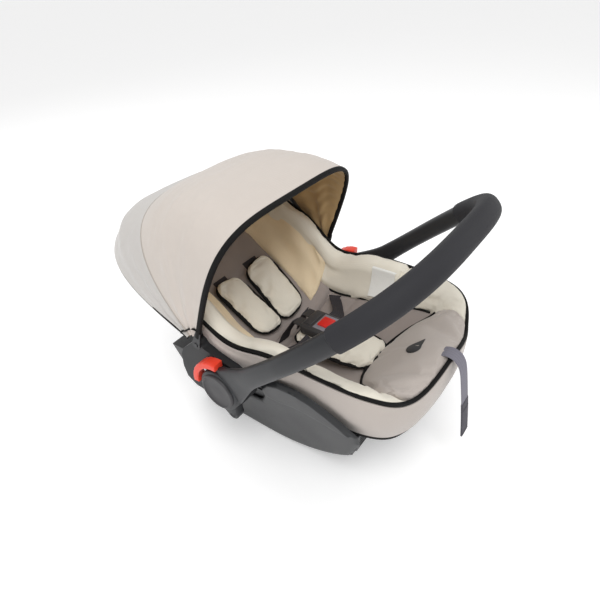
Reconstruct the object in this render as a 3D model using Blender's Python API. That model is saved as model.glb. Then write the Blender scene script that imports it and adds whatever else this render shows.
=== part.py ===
"""Infant car seat with a swinging carry handle, folding canopy and five-point harness.

Frame: +Z up from the floor, -Y towards the foot end, +X to the child's left, origin at the
bottom centre of the overall box. All sizes are in metres.
"""

from math import atan2, cos, pi, radians, sin

import bmesh
import bpy
from mathutils import Matrix, Vector
from mathutils.kdtree import KDTree

# ---------------------------------------------------------------- driving dimensions

GAP = 0.0003                    # between pieces that touch
TOUCH = 0.001                   # between soft layers that touch
LINK_GAP = 0.0008               # around pieces that slide

# seat hull
RIM_POINTS = (                  # half of the rim, foot centre to head centre
    (0.000, -0.318, 0.242),
    (0.097, -0.303, 0.224),
    (0.158, -0.254, 0.254),
    (0.169, -0.102, 0.262),
    (0.170, 0.002, 0.250),
    (0.174, 0.100, 0.312),
    (0.148, 0.244, 0.366),
    (0.000, 0.268, 0.380),
)
SHELL_KEEL = (                  # centre line of the shell's outside, foot to head
    (-0.236, 0.082),
    (-0.150, 0.052),
    (-0.040, 0.034),
    (0.050, 0.036),
    (0.120, 0.092),
    (0.180, 0.185),
    (0.232, 0.290),
)
SEAT_KEEL = (                   # centre line of the surface the child sits on, foot to head
    (-0.262, 0.206),
    (-0.215, 0.188),
    (-0.140, 0.154),
    (-0.060, 0.132),
    (0.010, 0.140),
    (0.080, 0.190),
    (0.160, 0.252),
    (0.222, 0.322),
)
SHELL_ROUND = 1.9               # superellipse exponent of the shell's section
SEAT_ROUND = 2.1                # superellipse exponent of the seat's section
SHELL_WALL = 0.004
SEAT_INSET = 0.024              # seat rim inside the shell's rim
COVER_THICK = 0.012
COVER_SEAM = 0.0016             # between neighbouring cover panels
SKIRT_THICK = 0.003
PIPING_R = 0.0030
RIM_STEPS = 30                  # around half of the rim
WALL_STEPS = 8                  # from the keel up to the rim

# rocker base
BASE_FLAT = (-0.016, 0.056)     # flat stretch of the rocker, in Y
BASE_ARC_R = 0.290
BASE_END = (-0.222, 0.176)
BASE_TOP_Z = 0.150
BASE_HALF_BOTTOM = 0.118
BASE_FLARE = 0.215              # growth of half width for each metre of height
BASE_RAIL = 0.034               # width of each rocker rail
COVER_WALL = 0.0045
COVER_TOP_Z = 0.238
CHEEK_RISE = 0.004              # raised panel on the side cover
CHEEK_OUTLINE = (
    (-0.068, 0.188), (-0.070, 0.166), (-0.100, 0.166), (-0.136, 0.178), (-0.177, 0.177),
    (-0.216, 0.172), (-0.238, 0.174), (-0.226, 0.190), (-0.203, 0.209), (-0.177, 0.226),
    (-0.150, 0.232), (-0.117, 0.229), (-0.090, 0.216),
)
COVER_BULGE = 0.012             # extra half width of the side covers at their top
FOOT_PAD_DEPTH = 0.0015

# handle
PIVOT_Y = -0.012
PIVOT_Z = 0.186
HANDLE_REACH = 0.4015
HANDLE_TILT = radians(41.9)     # above horizontal, towards the foot end
HANDLE_HALF = 0.2038            # half width at the hub
HANDLE_SPREAD = 0.032           # extra half width towards the grip
HANDLE_ROUND = 3.2
TUBE_WIDE = 0.032
TUBE_THICK = 0.028
LEG_DEEP = 0.052                # depth of the moulded leg next to the hub
LEG_THICK = 0.018
LEG_LENGTH = 0.190
GRIP_WALL = 0.002
HUB_R = 0.040
HUB_OUT = 0.220                 # outer face of the hub housing
HUB_IN = 0.1925                 # inner face of the hub housing
CAP_R = 0.034
CAP_THICK = 0.004
LOBE_REACH = 0.060
LOBE_R = 0.012
GEAR_R = 0.030
GEAR_TEETH = 8
GEAR_THICK = 0.010
BOLT_R = 0.006
BUTTON_IN_R = 0.0455
BUTTON_OUT_R = 0.0585
BUTTON_FROM = radians(-5)       # angles from +Y towards +Z
BUTTON_TO = radians(98)
BUTTON_THICK = 0.020
SPRING_R = 0.0035

# brackets beside the hubs
BRACKET_OUT = 0.1915
BRACKET_IN = 0.165

# canopy
CANOPY_Y = 0.050
CANOPY_Z = 0.242
CANOPY_HALF = 0.194
BOW_ANGLE = radians(68.4)       # front bow, from -Y towards +Z
SEAM_ANGLE = radians(128.7)
HEM_ANGLE = radians(158.9)
BOW_REACH = 0.236
SEAM_REACH = 0.250
FULL_ANGLE = radians(148.9)
FULL_REACH = 0.291
HEM_REACH = 0.2972
BOW_ROUND = 4.5
SEAM_ROUND = 3.4
HEM_ROUND = 3.6
CANOPY_THICK = 0.003
BOW_TUBE_R = 0.004
CANOPY_FOOT_R = 0.0345          # canopy cloth stops this far from its pivot
PIN_R = 0.004
EAR_R = 0.010                   # bracket around the canopy pin

# harness and pads
WEB_WIDE = 0.036
WEB_THICK = 0.002
SHOULDER_PAD = (0.062, 0.016)
SHOULDER_X = 0.043
CROTCH_PAD = (0.088, 0.140, 0.013)
BUCKLE = (0.058, 0.064, 0.024)
BUCKLE_BUTTON = (0.026, 0.024, 0.008)
BUCKLE_TRAVEL = 0.003
LABEL_THICK = 0.0008
STRAP_WIDE = 0.025
STRAP_THICK = 0.0016

# smaller sizes of the pieces above
INSERT_THICK = 0.008
WING_THICK = 0.012
SKIRT_ROW = 2                   # lowest skirt row at the foot centre
SKIRT_RISE = 0.30               # rows its hem climbs for each step around
SKIRT_END = 15
PIPING_LIFT = 0.0012
BASE_RAKE = 0.010
BASE_WEB = 0.018
FOOT_PAD_EDGE = 0.005
COVER_FRONT = -0.248
COVER_REAR = 0.150
COVER_LIFT = 0.002
BOLT_IN = 0.176
GEAR_NOTCH = 0.004
LOBE_ANGLE = radians(-117)
STEM_X = 0.2085
STEM_R = 0.0022
STEM_IN = 0.0355
BUTTON_X = 0.1975
SPRING_WALL = 0.0008
HANDLE_STEPS = 48
GRIP_FROM = 14                  # grip starts at this step of the handle
CANOPY_SEAM = 0.0005
BOW_INSET = 0.0085
BOW_FOOT_R = 0.029
BLADE_THICK = 0.0022
BLADE_R = 0.009
BLADE_REACH = 0.033
BLADE_TIP = 0.005
BLADE_SEAT = 0.0005             # boss of the blade beyond the end of the bow
PAD_AIR = 0.002
PAD_TOP_Y = 0.138
PAD_LOW_Y = 0.016
SHOULDER_ROLL = radians(9)
BACK_RISE = 0.0050              # how much the curved back rises at the shoulder straps
WEB_NARROW = 0.022              # webbing width where it enters a tongue
STRAP_TOP_Y = 0.150
STRAP_LOW_Y = 0.010
STRAP_LOW_X = 0.030
BUCKLE_Y = -0.072
BUCKLE_Z = 0.203
BUTTON_PROUD = 0.002
BUTTON_AHEAD = -0.010
TONGUE_X = 0.0148
TONGUE_WIDE = 0.022
TONGUE_THICK = 0.0022
TONGUE_IN = 0.014
TONGUE_OUT = 0.016
TONGUE_LIFT = 0.004
HIP_ROUTE = ((0.106, -0.030, 0.184), (0.086, -0.048, 0.183), (0.060, -0.067, 0.190),
             (0.0325, -0.070, 0.195))
CROTCH_PLACE = (0.0, -0.120, 0.1836)
CROTCH_TILT = radians(-4)
CROTCH_ROUTE = ((0.0, -0.140, 0.1560), (0.0, -0.146, 0.162), (0.0, -0.140, 0.168),
                (0.0, -0.120, 0.1705), (0.0, -0.100, 0.170))
ADJUSTER_Y = -0.250
ADJUSTER_THICK = 0.004
TEAR_X = 0.0003
TEAR_R = 0.0105
TEAR_REACH = 0.022
GUIDE_PLACE = (0.0, -0.2805, 0.2245)
GUIDE_TILT = radians(-40)
STRAP_ROUTE = (                 # hand-laid route of the free strap end
    (0.000, -0.2850, 0.2370),
    (0.000, -0.2915, 0.2450),
    (0.000, -0.3010, 0.2520),
    (0.000, -0.3130, 0.2560),
    (0.000, -0.3250, 0.2530),
    (0.001, -0.3330, 0.2430),
    (0.001, -0.3380, 0.2280),
    (0.002, -0.343, 0.1950),
    (0.004, -0.349, 0.1450),
    (0.006, -0.354, 0.0920),
)
LABEL_AROUND = (0.318, 0.362)
LABEL_UP = (0.66, 0.93)

BLADE_IN = BRACKET_OUT + GAP    # inner face of the canopy blades

SIDES = (("left", 1.0), ("right", -1.0))

FINISHES = {                    # colour, roughness, metallic
    "moulding": ((0.045, 0.046, 0.048), 0.48, 0.0),
    "shell_plastic": ((0.035, 0.036, 0.038), 0.60, 0.0),
    "cap": ((0.075, 0.073, 0.074), 0.55, 0.0),
    "grip": ((0.060, 0.060, 0.066), 0.75, 0.0),
    "release": ((0.80, 0.085, 0.040), 0.35, 0.0),
    "foam": ((0.82, 0.82, 0.80), 0.90, 0.0),
    "cloth_taupe": ((0.46, 0.42, 0.38), 0.85, 0.0),
    "cloth_grey": ((0.30, 0.27, 0.26), 0.85, 0.0),
    "cloth_cream": ((0.74, 0.69, 0.60), 0.85, 0.0),
    "canopy_cloth": ((0.62, 0.57, 0.53), 0.60, 0.0),
    "piping": ((0.012, 0.012, 0.012), 0.70, 0.0),
    "webbing": ((0.030, 0.029, 0.030), 0.80, 0.0),
    "strap": ((0.17, 0.16, 0.18), 0.75, 0.0),
    "buckle_red": ((0.58, 0.035, 0.025), 0.35, 0.0),
    "label": ((0.85, 0.85, 0.83), 0.60, 0.0),
    "steel": ((0.60, 0.60, 0.62), 0.30, 1.0),
    "rubber": ((0.025, 0.025, 0.025), 0.85, 0.0),
}


# ---------------------------------------------------------------- helpers

def clear_scene():
    for thing in list(bpy.data.objects):
        bpy.data.objects.remove(thing, do_unlink=True)


def finish(name):
    """The material of one finish, made once."""
    if name in bpy.data.materials:
        return bpy.data.materials[name]
    colour, roughness, metallic = FINISHES[name]
    material = bpy.data.materials.new(name)
    material.use_nodes = True
    shader = material.node_tree.nodes["Principled BSDF"]
    shader.inputs["Base Color"].default_value = (*colour, 1.0)
    shader.inputs["Roughness"].default_value = roughness
    shader.inputs["Metallic"].default_value = metallic
    return material


def add(name, bm, look, parent=None, smooth=True):
    """Turn a bmesh into a named object, its mesh in the coordinates of its parent."""
    bmesh.ops.recalc_face_normals(bm, faces=bm.faces)
    mesh = bpy.data.meshes.new(name)
    bm.to_mesh(mesh)
    bm.free()
    if smooth:
        mesh.shade_smooth()
        mesh.set_sharp_from_angle(angle=radians(40))
    mesh.materials.append(finish(look))
    thing = bpy.data.objects.new(name, mesh)
    bpy.context.scene.collection.objects.link(thing)
    if parent:
        thing.parent = parent
        move = Matrix.Translation(-parent.location)
        mesh.transform(move)
    return thing


def axis_empty(name, place):
    empty = bpy.data.objects.new(name, None)
    empty.location = place
    bpy.context.scene.collection.objects.link(empty)
    return empty


def cut(target, cutter, keep=False):
    """Subtract a cutter for good, and remove the cutter unless it is kept."""
    change = target.modifiers.new("cut", "BOOLEAN")
    change.object = cutter
    change.operation = "DIFFERENCE"
    bpy.context.view_layer.update()
    graph = bpy.context.evaluated_depsgraph_get()
    mesh = bpy.data.meshes.new_from_object(target.evaluated_get(graph))
    target.modifiers.clear()
    target.data = mesh
    if not keep:
        bpy.data.objects.remove(cutter, do_unlink=True)


def join(target, other):
    """Unite two objects for good, and remove the second."""
    change = target.modifiers.new("join", "BOOLEAN")
    change.object = other
    change.operation = "UNION"
    bpy.context.view_layer.update()
    graph = bpy.context.evaluated_depsgraph_get()
    mesh = bpy.data.meshes.new_from_object(target.evaluated_get(graph))
    target.modifiers.clear()
    target.data = mesh
    bpy.data.objects.remove(other, do_unlink=True)


def taken(thing):
    """The mesh of a working object; the object is removed."""
    bm = bmesh.new()
    bm.from_mesh(thing.data)
    bpy.data.objects.remove(thing, do_unlink=True)
    return bm


def spline(points, value):
    """Catmull-Rom curve through points; value runs from 0 to the last index."""
    last = len(points) - 1
    base = min(int(value), last - 1)
    step = value - base
    ring = [Vector(points[max(0, min(last, base + k))]) for k in (-1, 0, 1, 2)]
    one = (ring[2] - ring[0]) * 0.5
    two = (ring[3] - ring[1]) * 0.5
    square = step * step
    cube = square * step
    return (ring[1] * (2 * cube - 3 * square + 1) + one * (cube - 2 * square + step)
            + ring[2] * (3 * square - 2 * cube) + two * (cube - square))


def rounded_box(size, bevel, segments=2):
    bm = bmesh.new()
    bmesh.ops.create_cube(bm, size=1.0)
    bmesh.ops.scale(bm, vec=size, verts=bm.verts)
    if bevel:
        bmesh.ops.bevel(bm, geom=bm.edges[:], offset=bevel, segments=segments, profile=0.5,
                        affect="EDGES", material=-1)
    return bm


def disc(radius, low, high, turns=32, side=1.0):
    """Cylinder about the X axis through the origin, from low to high along side."""
    bm = bmesh.new()
    bmesh.ops.create_cone(bm, cap_ends=True, segments=turns, radius1=radius, radius2=radius,
                          depth=high - low)
    bmesh.ops.rotate(bm, verts=bm.verts, matrix=Matrix.Rotation(pi / 2, 3, "Y"))
    bmesh.ops.translate(bm, verts=bm.verts, vec=(side * (low + high) / 2, 0, 0))
    return bm


def plate(outline, low, high):
    """Prism of a closed (y, z) outline between two X values."""
    bm = bmesh.new()
    face = bm.faces.new([bm.verts.new((low, y, z)) for y, z in outline])
    grown = bmesh.ops.extrude_face_region(bm, geom=[face], use_keep_orig=True)
    moved = [v for v in grown["geom"] if isinstance(v, bmesh.types.BMVert)]
    bmesh.ops.translate(bm, verts=moved, vec=(high - low, 0, 0))
    return bm


def shift(bm, place):
    bmesh.ops.translate(bm, verts=bm.verts, vec=place)
    return bm


def turn(bm, angle, axis="X"):
    bmesh.ops.rotate(bm, verts=bm.verts, matrix=Matrix.Rotation(angle, 3, axis))
    return bm


def swept(path, sizes, sides_to, steps=12, power=2.0, first=0, last=None):
    """Closed solid that carries an oval section along a path, or from one point to another.

    sizes holds (half along sides_to, half across) for each point of the path.
    """
    bm = bmesh.new()
    rings = []
    stop = len(path) if last is None else last + 1
    for index in range(first, stop):
        point = path[index]
        ahead = Vector(path[min(index + 1, len(path) - 1)])
        behind = Vector(path[max(index - 1, 0)])
        along = (ahead - behind).normalized()
        side = Vector(sides_to)
        side = (side - along * side.dot(along)).normalized()
        other = along.cross(side)
        wide, thick = sizes[index]
        ring = []
        for k in range(steps):
            angle = 2 * pi * k / steps
            a = abs(cos(angle)) ** (2 / power) * (1 if cos(angle) >= 0 else -1)
            b = abs(sin(angle)) ** (2 / power) * (1 if sin(angle) >= 0 else -1)
            ring.append(bm.verts.new(Vector(point) + side * (a * wide) + other * (b * thick)))
        rings.append(ring)
    for first, second in zip(rings, rings[1:]):
        for k in range(steps):
            bm.faces.new((first[k], first[(k + 1) % steps], second[(k + 1) % steps], second[k]))
    bmesh.ops.triangulate(bm, faces=bm.faces[:], quad_method="FIXED")
    bm.faces.new(rings[0])
    bm.faces.new(rings[-1])
    return bm


# ---------------------------------------------------------------- seat hull

def keel_height(keel, y):
    """Height of a keel line at y, read from its curve."""
    low = 0.0
    high = float(len(keel) - 1)
    points = [(0.0, *p) for p in keel]
    for _ in range(40):
        middle = (low + high) / 2
        if spline(points, middle).y < y:
            low = middle
        else:
            high = middle
    return spline(points, low).z


def hull_point(keel, power, inset, around, up):
    """Point of a bucket surface.

    around runs 0 to 2 from the foot centre past the left side and the head and back;
    up runs 0 to 1 from the keel to the rim.
    """
    mirror = 1.0 if around <= 1 else -1.0
    half = around if around <= 1 else 2 - around
    rim = spline(RIM_POINTS, half * (len(RIM_POINTS) - 1))
    foot = RIM_POINTS[0][1]
    head = RIM_POINTS[-1][1]
    share = (rim.y - foot) / (head - foot)
    middle = Vector((0.0, (foot + head) / 2, rim.z))
    inward = (middle - rim)
    inward.z = 0
    rim = rim + inward.normalized() * inset
    y = keel[0][0] + share * (keel[-1][0] - keel[0][0])
    base = Vector((0.0, y, keel_height(keel, y)))
    angle = up * pi / 2
    out = sin(angle) ** (2 / power)
    rise = 1 - max(cos(angle), 0.0) ** (2 / power)
    x = rim.x * out
    return Vector((x * mirror, base.y + (rim.y - base.y) * out, base.z + (rim.z - base.z) * rise))


def hull_surface(keel, power, inset=0.0, depth=0.0):
    """Open bucket surface; each face carries its place around and up."""
    bm = bmesh.new()
    around_tag = bm.faces.layers.int.new("around")
    up_tag = bm.faces.layers.int.new("up")
    loops = 2 * RIM_STEPS
    grid = []
    for row in range(WALL_STEPS + 1):
        up = (row / WALL_STEPS) ** 0.85
        grid.append([bm.verts.new(hull_point(keel, power, inset, k / RIM_STEPS, up))
                     for k in range(loops)])
    for row in range(WALL_STEPS):
        for k in range(loops):
            after = (k + 1) % loops
            low, low_after = grid[row][k], grid[row][after]
            high, high_after = grid[row + 1][k], grid[row + 1][after]
            index = k if k < RIM_STEPS else loops - 1 - k
            if (k < RIM_STEPS) == (index < RIM_STEPS // 2):
                halves = ((low, low_after, high_after), (low, high_after, high))
            else:
                halves = ((low, low_after, high), (low_after, high_after, high))
            for corners in halves:
                face = bm.faces.new(corners)
                face[around_tag] = index
                face[up_tag] = row
    bmesh.ops.remove_doubles(bm, verts=bm.verts, dist=0.00002)
    bmesh.ops.recalc_face_normals(bm, faces=bm.faces)
    bm.normal_update()
    lowest = min(bm.faces, key=lambda f: f.calc_center_median().z)
    if lowest.normal.z > 0:
        bmesh.ops.reverse_faces(bm, faces=bm.faces)
    bm.normal_update()
    for vert in bm.verts:
        vert.co -= vert.normal * depth
    return bm


def thicken(bm, wanted, thickness, seam=0.0):
    """Keep the faces that are wanted, draw their edge in by seam, and thicken them inwards."""
    tree = KDTree(len(bm.verts))
    normals = []
    for index, vert in enumerate(bm.verts):
        tree.insert(vert.co, index)
        normals.append(vert.normal.copy())
    tree.balance()
    bmesh.ops.delete(bm, geom=[f for f in bm.faces if not wanted(f)], context="FACES")
    if seam:
        ring = bmesh.ops.inset_region(bm, faces=bm.faces[:], thickness=seam, use_boundary=True,
                                      use_even_offset=True)
        bmesh.ops.delete(bm, geom=ring["faces"], context="FACES")
    grown = bmesh.ops.extrude_face_region(bm, geom=bm.faces[:], use_keep_orig=True)
    moved = [v for v in grown["geom"] if isinstance(v, bmesh.types.BMVert)]
    for vert in moved:
        vert.co -= normals[tree.find(vert.co)[1]] * thickness
    return bm


def hull_layer(name, look, surface, rows, around, thickness, side=0.0):
    """One closed panel of a hull surface."""
    around_tag = surface.faces.layers.int["around"]
    up_tag = surface.faces.layers.int["up"]

    def wanted(face):
        centre = face.calc_center_median()
        on_side = side == 0 or centre.x * side > 0
        here = around[0] <= face[around_tag] < around[1]
        return on_side and here and rows[0] <= face[up_tag] < rows[1]

    return add(name, thicken(surface, wanted, thickness, COVER_SEAM / 2), look)


def hull_cutter(grow):
    """Everything inside the shell's outside, and above it."""
    bm = hull_surface(SHELL_KEEL, SHELL_ROUND, depth=-grow)
    edges = [e for e in bm.edges if e.is_boundary]
    raised = bmesh.ops.extrude_edge_only(bm, edges=edges)
    verts = [v for v in raised["geom"] if isinstance(v, bmesh.types.BMVert)]
    for vert in verts:
        vert.co.z = 0.6
    rim = [e for e in raised["geom"] if isinstance(e, bmesh.types.BMEdge)]
    bmesh.ops.contextual_create(bm, geom=[e for e in rim if e.is_boundary])
    cutter = add("hull_cutter", bm, "foam")
    cutter.hide_render = True
    cutter.display_type = "WIRE"
    return cutter


# ---------------------------------------------------------------- carrier body

def build_shell():
    surface = hull_surface(SHELL_KEEL, SHELL_ROUND)
    add("shell", thicken(surface, lambda face: True, SHELL_WALL), "shell_plastic")


def build_liner():
    """Foam that fills the space between the shell and the seat cover."""
    under = hull_surface(SHELL_KEEL, SHELL_ROUND, depth=SHELL_WALL + GAP)
    over = hull_surface(SEAT_KEEL, SEAT_ROUND, inset=SEAT_INSET,
                        depth=-COVER_THICK - TOUCH)
    top = WALL_STEPS - 1
    for bm in (under, over):
        up_tag = bm.faces.layers.int["up"]
        bmesh.ops.delete(bm, geom=[f for f in bm.faces if f[up_tag] >= top], context="FACES")
    lower = bpy.data.meshes.new("liner_under")
    under.to_mesh(lower)
    under.free()
    over.from_mesh(lower)
    bpy.data.meshes.remove(lower)
    edges = [e for e in over.edges if e.is_boundary]
    bmesh.ops.bridge_loops(over, edges=edges)
    add("foam_liner", over, "foam")


def build_cover():
    """Seat cover panels, each a closed pad on the seat surface."""
    def surface():
        return hull_surface(SEAT_KEEL, SEAT_ROUND, inset=SEAT_INSET, depth=-COVER_THICK)

    centre_rows = (0, 5)
    side_rows = (5, WALL_STEPS)
    foot_to = 7
    back_from = 17
    for word, side in SIDES:
        hull_layer(f"bolster_{word}", "cloth_cream", surface(), side_rows,
                   (foot_to, RIM_STEPS - 3), COVER_THICK, side)
    hull_layer("foot_panel", "cloth_taupe", surface(), (0, WALL_STEPS), (0, foot_to), COVER_THICK)
    hull_layer("seat_panel", "cloth_grey", surface(), centre_rows, (foot_to, back_from),
               COVER_THICK)
    hull_layer("back_panel", "cloth_grey", surface(), centre_rows, (back_from, RIM_STEPS - 3),
               COVER_THICK)
    hull_layer("head_panel", "cloth_taupe", surface(), (0, WALL_STEPS),
               (RIM_STEPS - 3, RIM_STEPS), COVER_THICK)


def build_insert():
    """Newborn insert: a pad on the back panel and a padded wing on each side of it."""
    def surface(lift):
        return hull_surface(SEAT_KEEL, SEAT_ROUND, inset=SEAT_INSET, depth=TOUCH + lift)

    hull_layer("insert_pad", "cloth_taupe", surface(0), (0, 3), (19, 27), INSERT_THICK)
    for word, side in SIDES:
        hull_layer(f"insert_wing_{word}", "cloth_cream", surface(0), (3, 7), (19, 27),
                   WING_THICK, side)


def build_skirt():
    """Cloth that hangs from the rim over the outside of the foot end."""
    surface = hull_surface(SHELL_KEEL, SHELL_ROUND, depth=-SKIRT_THICK - TOUCH)
    around_tag = surface.faces.layers.int["around"]
    up_tag = surface.faces.layers.int["up"]

    def wanted(face):
        lowest = SKIRT_ROW + face[around_tag] * SKIRT_RISE
        return face[around_tag] < SKIRT_END and face[up_tag] >= lowest

    add("skirt", thicken(surface, wanted, SKIRT_THICK), "cloth_taupe")


def build_piping():
    """Cord sewn around the rim, as a closed ring."""
    bm = bmesh.new()
    count = 4 * RIM_STEPS // 2
    steps = 6
    rings = []
    lift = Vector((0, 0, PIPING_R + PIPING_LIFT))
    points = []
    for k in range(count):
        around = 2 * k / count
        points.append(hull_point(SHELL_KEEL, SHELL_ROUND, 0.0, around, 1.0) + lift)
    for k in range(count):
        along = (points[(k + 1) % count] - points[k - 1]).normalized()
        side = along.cross(Vector((0, 0, 1))).normalized()
        other = side.cross(along)
        ring = []
        for j in range(steps):
            angle = 2 * pi * j / steps
            place = points[k] + (side * cos(angle) + other * sin(angle)) * PIPING_R
            ring.append(bm.verts.new(place))
        rings.append(ring)
    for k in range(count):
        first = rings[k]
        second = rings[(k + 1) % count]
        for j in range(steps):
            after = (j + 1) % steps
            bm.faces.new((first[j], first[after], second[after], second[j]))
    add("rim_piping", bm, "piping")


def rocker_line(y):
    """Height of the rocker's underside at y."""
    if y < BASE_FLAT[0]:
        reach = BASE_FLAT[0] - y
    elif y > BASE_FLAT[1]:
        reach = y - BASE_FLAT[1]
    else:
        return 0.0
    return BASE_ARC_R - (BASE_ARC_R ** 2 - reach ** 2) ** 0.5


def rocker_outline(start, end, steps, lift):
    """Underside of the rocker from start to end, as (y, z) points."""
    points = []
    for k in range(steps + 1):
        y = start + (end - start) * k / steps
        points.append((y, rocker_line(y) + lift))
    return points


def flare(bm, low_half, bulge=0.0):
    """Lean an upright plate outwards with height."""
    for vert in bm.verts:
        out = low_half + BASE_FLARE * vert.co.z + bulge * (vert.co.z / COVER_TOP_Z) ** 2
        vert.co.x += out if vert.co.x > 0 else -out
    return bm


def build_base(cutter):
    front, rear = BASE_END
    outline = rocker_outline(front, rear, 28, FOOT_PAD_DEPTH)
    outline += [(rear + BASE_RAKE, BASE_TOP_Z), (front - BASE_RAKE, BASE_TOP_Z)]
    block = flare(plate(outline, -0.01, 0.01), BASE_HALF_BOTTOM - 0.01)
    base = add("base", block, "moulding")
    inner_half = BASE_HALF_BOTTOM - BASE_RAIL
    channel = rounded_box((2 * inner_half, rear - front - 2 * BASE_WEB, 0.5), 0)
    shift(channel, (0, (rear + front) / 2, 0))
    cut(base, add("channel_cutter", channel, "foam"))
    cut(base, cutter, keep=True)
    middle = (BASE_FLAT[0] + BASE_FLAT[1]) / 2
    length = BASE_FLAT[1] - BASE_FLAT[0] - 2 * FOOT_PAD_EDGE
    for word, side in SIDES:
        pad = rounded_box((BASE_RAIL - 2 * FOOT_PAD_EDGE, length, FOOT_PAD_DEPTH - GAP), 0)
        x = side * (BASE_HALF_BOTTOM - BASE_RAIL / 2)
        add(f"foot_pad_{word}", shift(pad, (x, middle, (FOOT_PAD_DEPTH - GAP) / 2)), "rubber",
            smooth=False)


def cover_outline():
    """Outside edge of a side cover, as (y, z) points."""
    top = [(COVER_REAR + 0.010, 0.096), (0.060, 0.114), (-0.010, 0.120), (-0.044, 0.127),
           (-0.058, 0.150), (-0.062, 0.190), (-0.084, 0.220), (-0.115, COVER_TOP_Z - 0.003),
           (-0.150, COVER_TOP_Z), (-0.178, 0.232), (-0.206, 0.214), (-0.230, 0.194),
           (COVER_FRONT, 0.176), (COVER_FRONT, 0.152), (-0.232, 0.118)]
    bottom = rocker_outline(-0.218, COVER_REAR, 22, FOOT_PAD_DEPTH + COVER_LIFT)
    return bottom + top


def build_side_covers():
    for word, side in SIDES:
        half = BASE_HALF_BOTTOM
        bm = flare(plate(cover_outline(), GAP, COVER_WALL), half, COVER_BULGE)
        if side < 0:
            bmesh.ops.scale(bm, vec=(-1, 1, 1), verts=bm.verts)
        cover = add("cover_panel", bm, "moulding")
        bm = flare(plate(CHEEK_OUTLINE, COVER_WALL / 2, COVER_WALL + CHEEK_RISE), half,
                   COVER_BULGE)
        if side < 0:
            bmesh.ops.scale(bm, vec=(-1, 1, 1), verts=bm.verts)
        join(cover, add("cheek", bm, "moulding"))
        add(f"side_cover_{word}", taken(cover), "moulding")


def bracket_outline():
    """Outline of the moulded bracket: hub boss, canopy ear and rear wing."""
    points = [(PIVOT_Y - 0.038, PIVOT_Z - 0.020), (PIVOT_Y - 0.040, PIVOT_Z + 0.012),
              (PIVOT_Y - 0.018, PIVOT_Z + 0.040), (CANOPY_Y - 0.014, CANOPY_Z - 0.004)]
    for k in range(7):
        angle = pi * (1 - k / 6)
        points.append((CANOPY_Y + EAR_R * cos(angle), CANOPY_Z + EAR_R * sin(angle)))
    points += [(0.092, 0.213), (0.101, 0.196), (0.104, 0.166), (0.099, 0.143), (0.079, 0.130),
               (0.020, 0.127), (PIVOT_Y - 0.020, PIVOT_Z - 0.044)]
    return points


def build_brackets(cutter):
    """Moulded brackets on the shell's sides, with the bolts and gears of the handle."""
    for word, side in SIDES:
        low, high = sorted((side * BRACKET_IN, side * BRACKET_OUT))
        bracket = add(f"hub_bracket_{word}", plate(bracket_outline(), low, high), "shell_plastic")
        cut(bracket, cutter, keep=True)
        hole = shift(disc(BOLT_R + GAP, 0.1, 0.3, 20, side), (0, PIVOT_Y, PIVOT_Z))
        cut(bracket, add("hole_cutter", hole, "foam"))
        hole = shift(disc(PIN_R + GAP, 0.1, 0.3, 16, side), (0, CANOPY_Y, CANOPY_Z))
        cut(bracket, add("hole_cutter", hole, "foam"))
        bolt = disc(BOLT_R, BOLT_IN, HUB_OUT - CAP_THICK - GAP, 20, side)
        add(f"pivot_bolt_{word}", shift(bolt, (0, PIVOT_Y, PIVOT_Z)), "steel")
        pin = disc(PIN_R, BOLT_IN + 0.004, BLADE_IN + BLADE_THICK + 0.001, 16, side)
        add(f"canopy_pin_{word}", shift(pin, (0, CANOPY_Y, CANOPY_Z)), "steel")
        add(f"lock_gear_{word}", lock_gear(side), "moulding")


def lock_gear(side):
    """Toothed ring fixed on the bracket inside the hub housing."""
    outline = []
    for k in range(GEAR_TEETH * 4):
        angle = 2 * pi * (k + 0.5) / (GEAR_TEETH * 4)
        radius = GEAR_R if k % 4 in (0, 1) else GEAR_R - GEAR_NOTCH
        outline.append((PIVOT_Y + radius * cos(angle), PIVOT_Z + radius * sin(angle)))
    low, high = sorted((side * (BRACKET_OUT + GAP), side * (BRACKET_OUT + GAP + GEAR_THICK)))
    gear = add("gear_blank", plate(outline, low, high), "moulding")
    hole = shift(disc(BOLT_R + GAP, 0.1, 0.3, 20, side), (0, PIVOT_Y, PIVOT_Z))
    cut(gear, add("hole_cutter", hole, "foam"))
    return taken(gear)


# ---------------------------------------------------------------- handle

def reach_direction():
    return Vector((0, -cos(HANDLE_TILT), sin(HANDLE_TILT)))


def handle_point(share):
    """Centre line of the handle; share runs 0 to 1 to 2 from left hub to grip to right hub."""
    mirror = 1.0 if share <= 1 else -1.0
    half = share if share <= 1 else 2 - share
    angle = pi / 2 * half ** (HANDLE_ROUND / 2)
    reach = sin(angle) ** (2 / HANDLE_ROUND)
    out = max(cos(angle), 0.0) ** (2 / HANDLE_ROUND)
    width = (HANDLE_HALF + HANDLE_SPREAD * reach) * out
    pivot = Vector((0, PIVOT_Y, PIVOT_Z))
    return pivot + Vector((mirror * width, 0, 0)) + reach_direction() * (HANDLE_REACH * reach)


def handle_section(point, grow=0.0):
    """Half depth and half thickness of the handle at a point of its centre line."""
    reach = (point - Vector((point.x, PIVOT_Y, PIVOT_Z))).length
    share = max(0.0, 1 - reach / LEG_LENGTH)
    deep = TUBE_WIDE + (LEG_DEEP - TUBE_WIDE) * share ** 2
    thick = TUBE_THICK + (LEG_THICK - TUBE_THICK) * min(1.0, share * 1.6)
    return (deep / 2 + grow, thick / 2 + grow)


def handle_sweep(first, last, grow):
    """Handle tube between two of its steps."""
    path = [handle_point(2 * k / HANDLE_STEPS) for k in range(HANDLE_STEPS + 1)]
    normal = Vector((1, 0, 0)).cross(reach_direction())
    sizes = [handle_section(p, grow) for p in path]
    return swept(path, sizes, normal, 12, 2.3, first, last)


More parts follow.
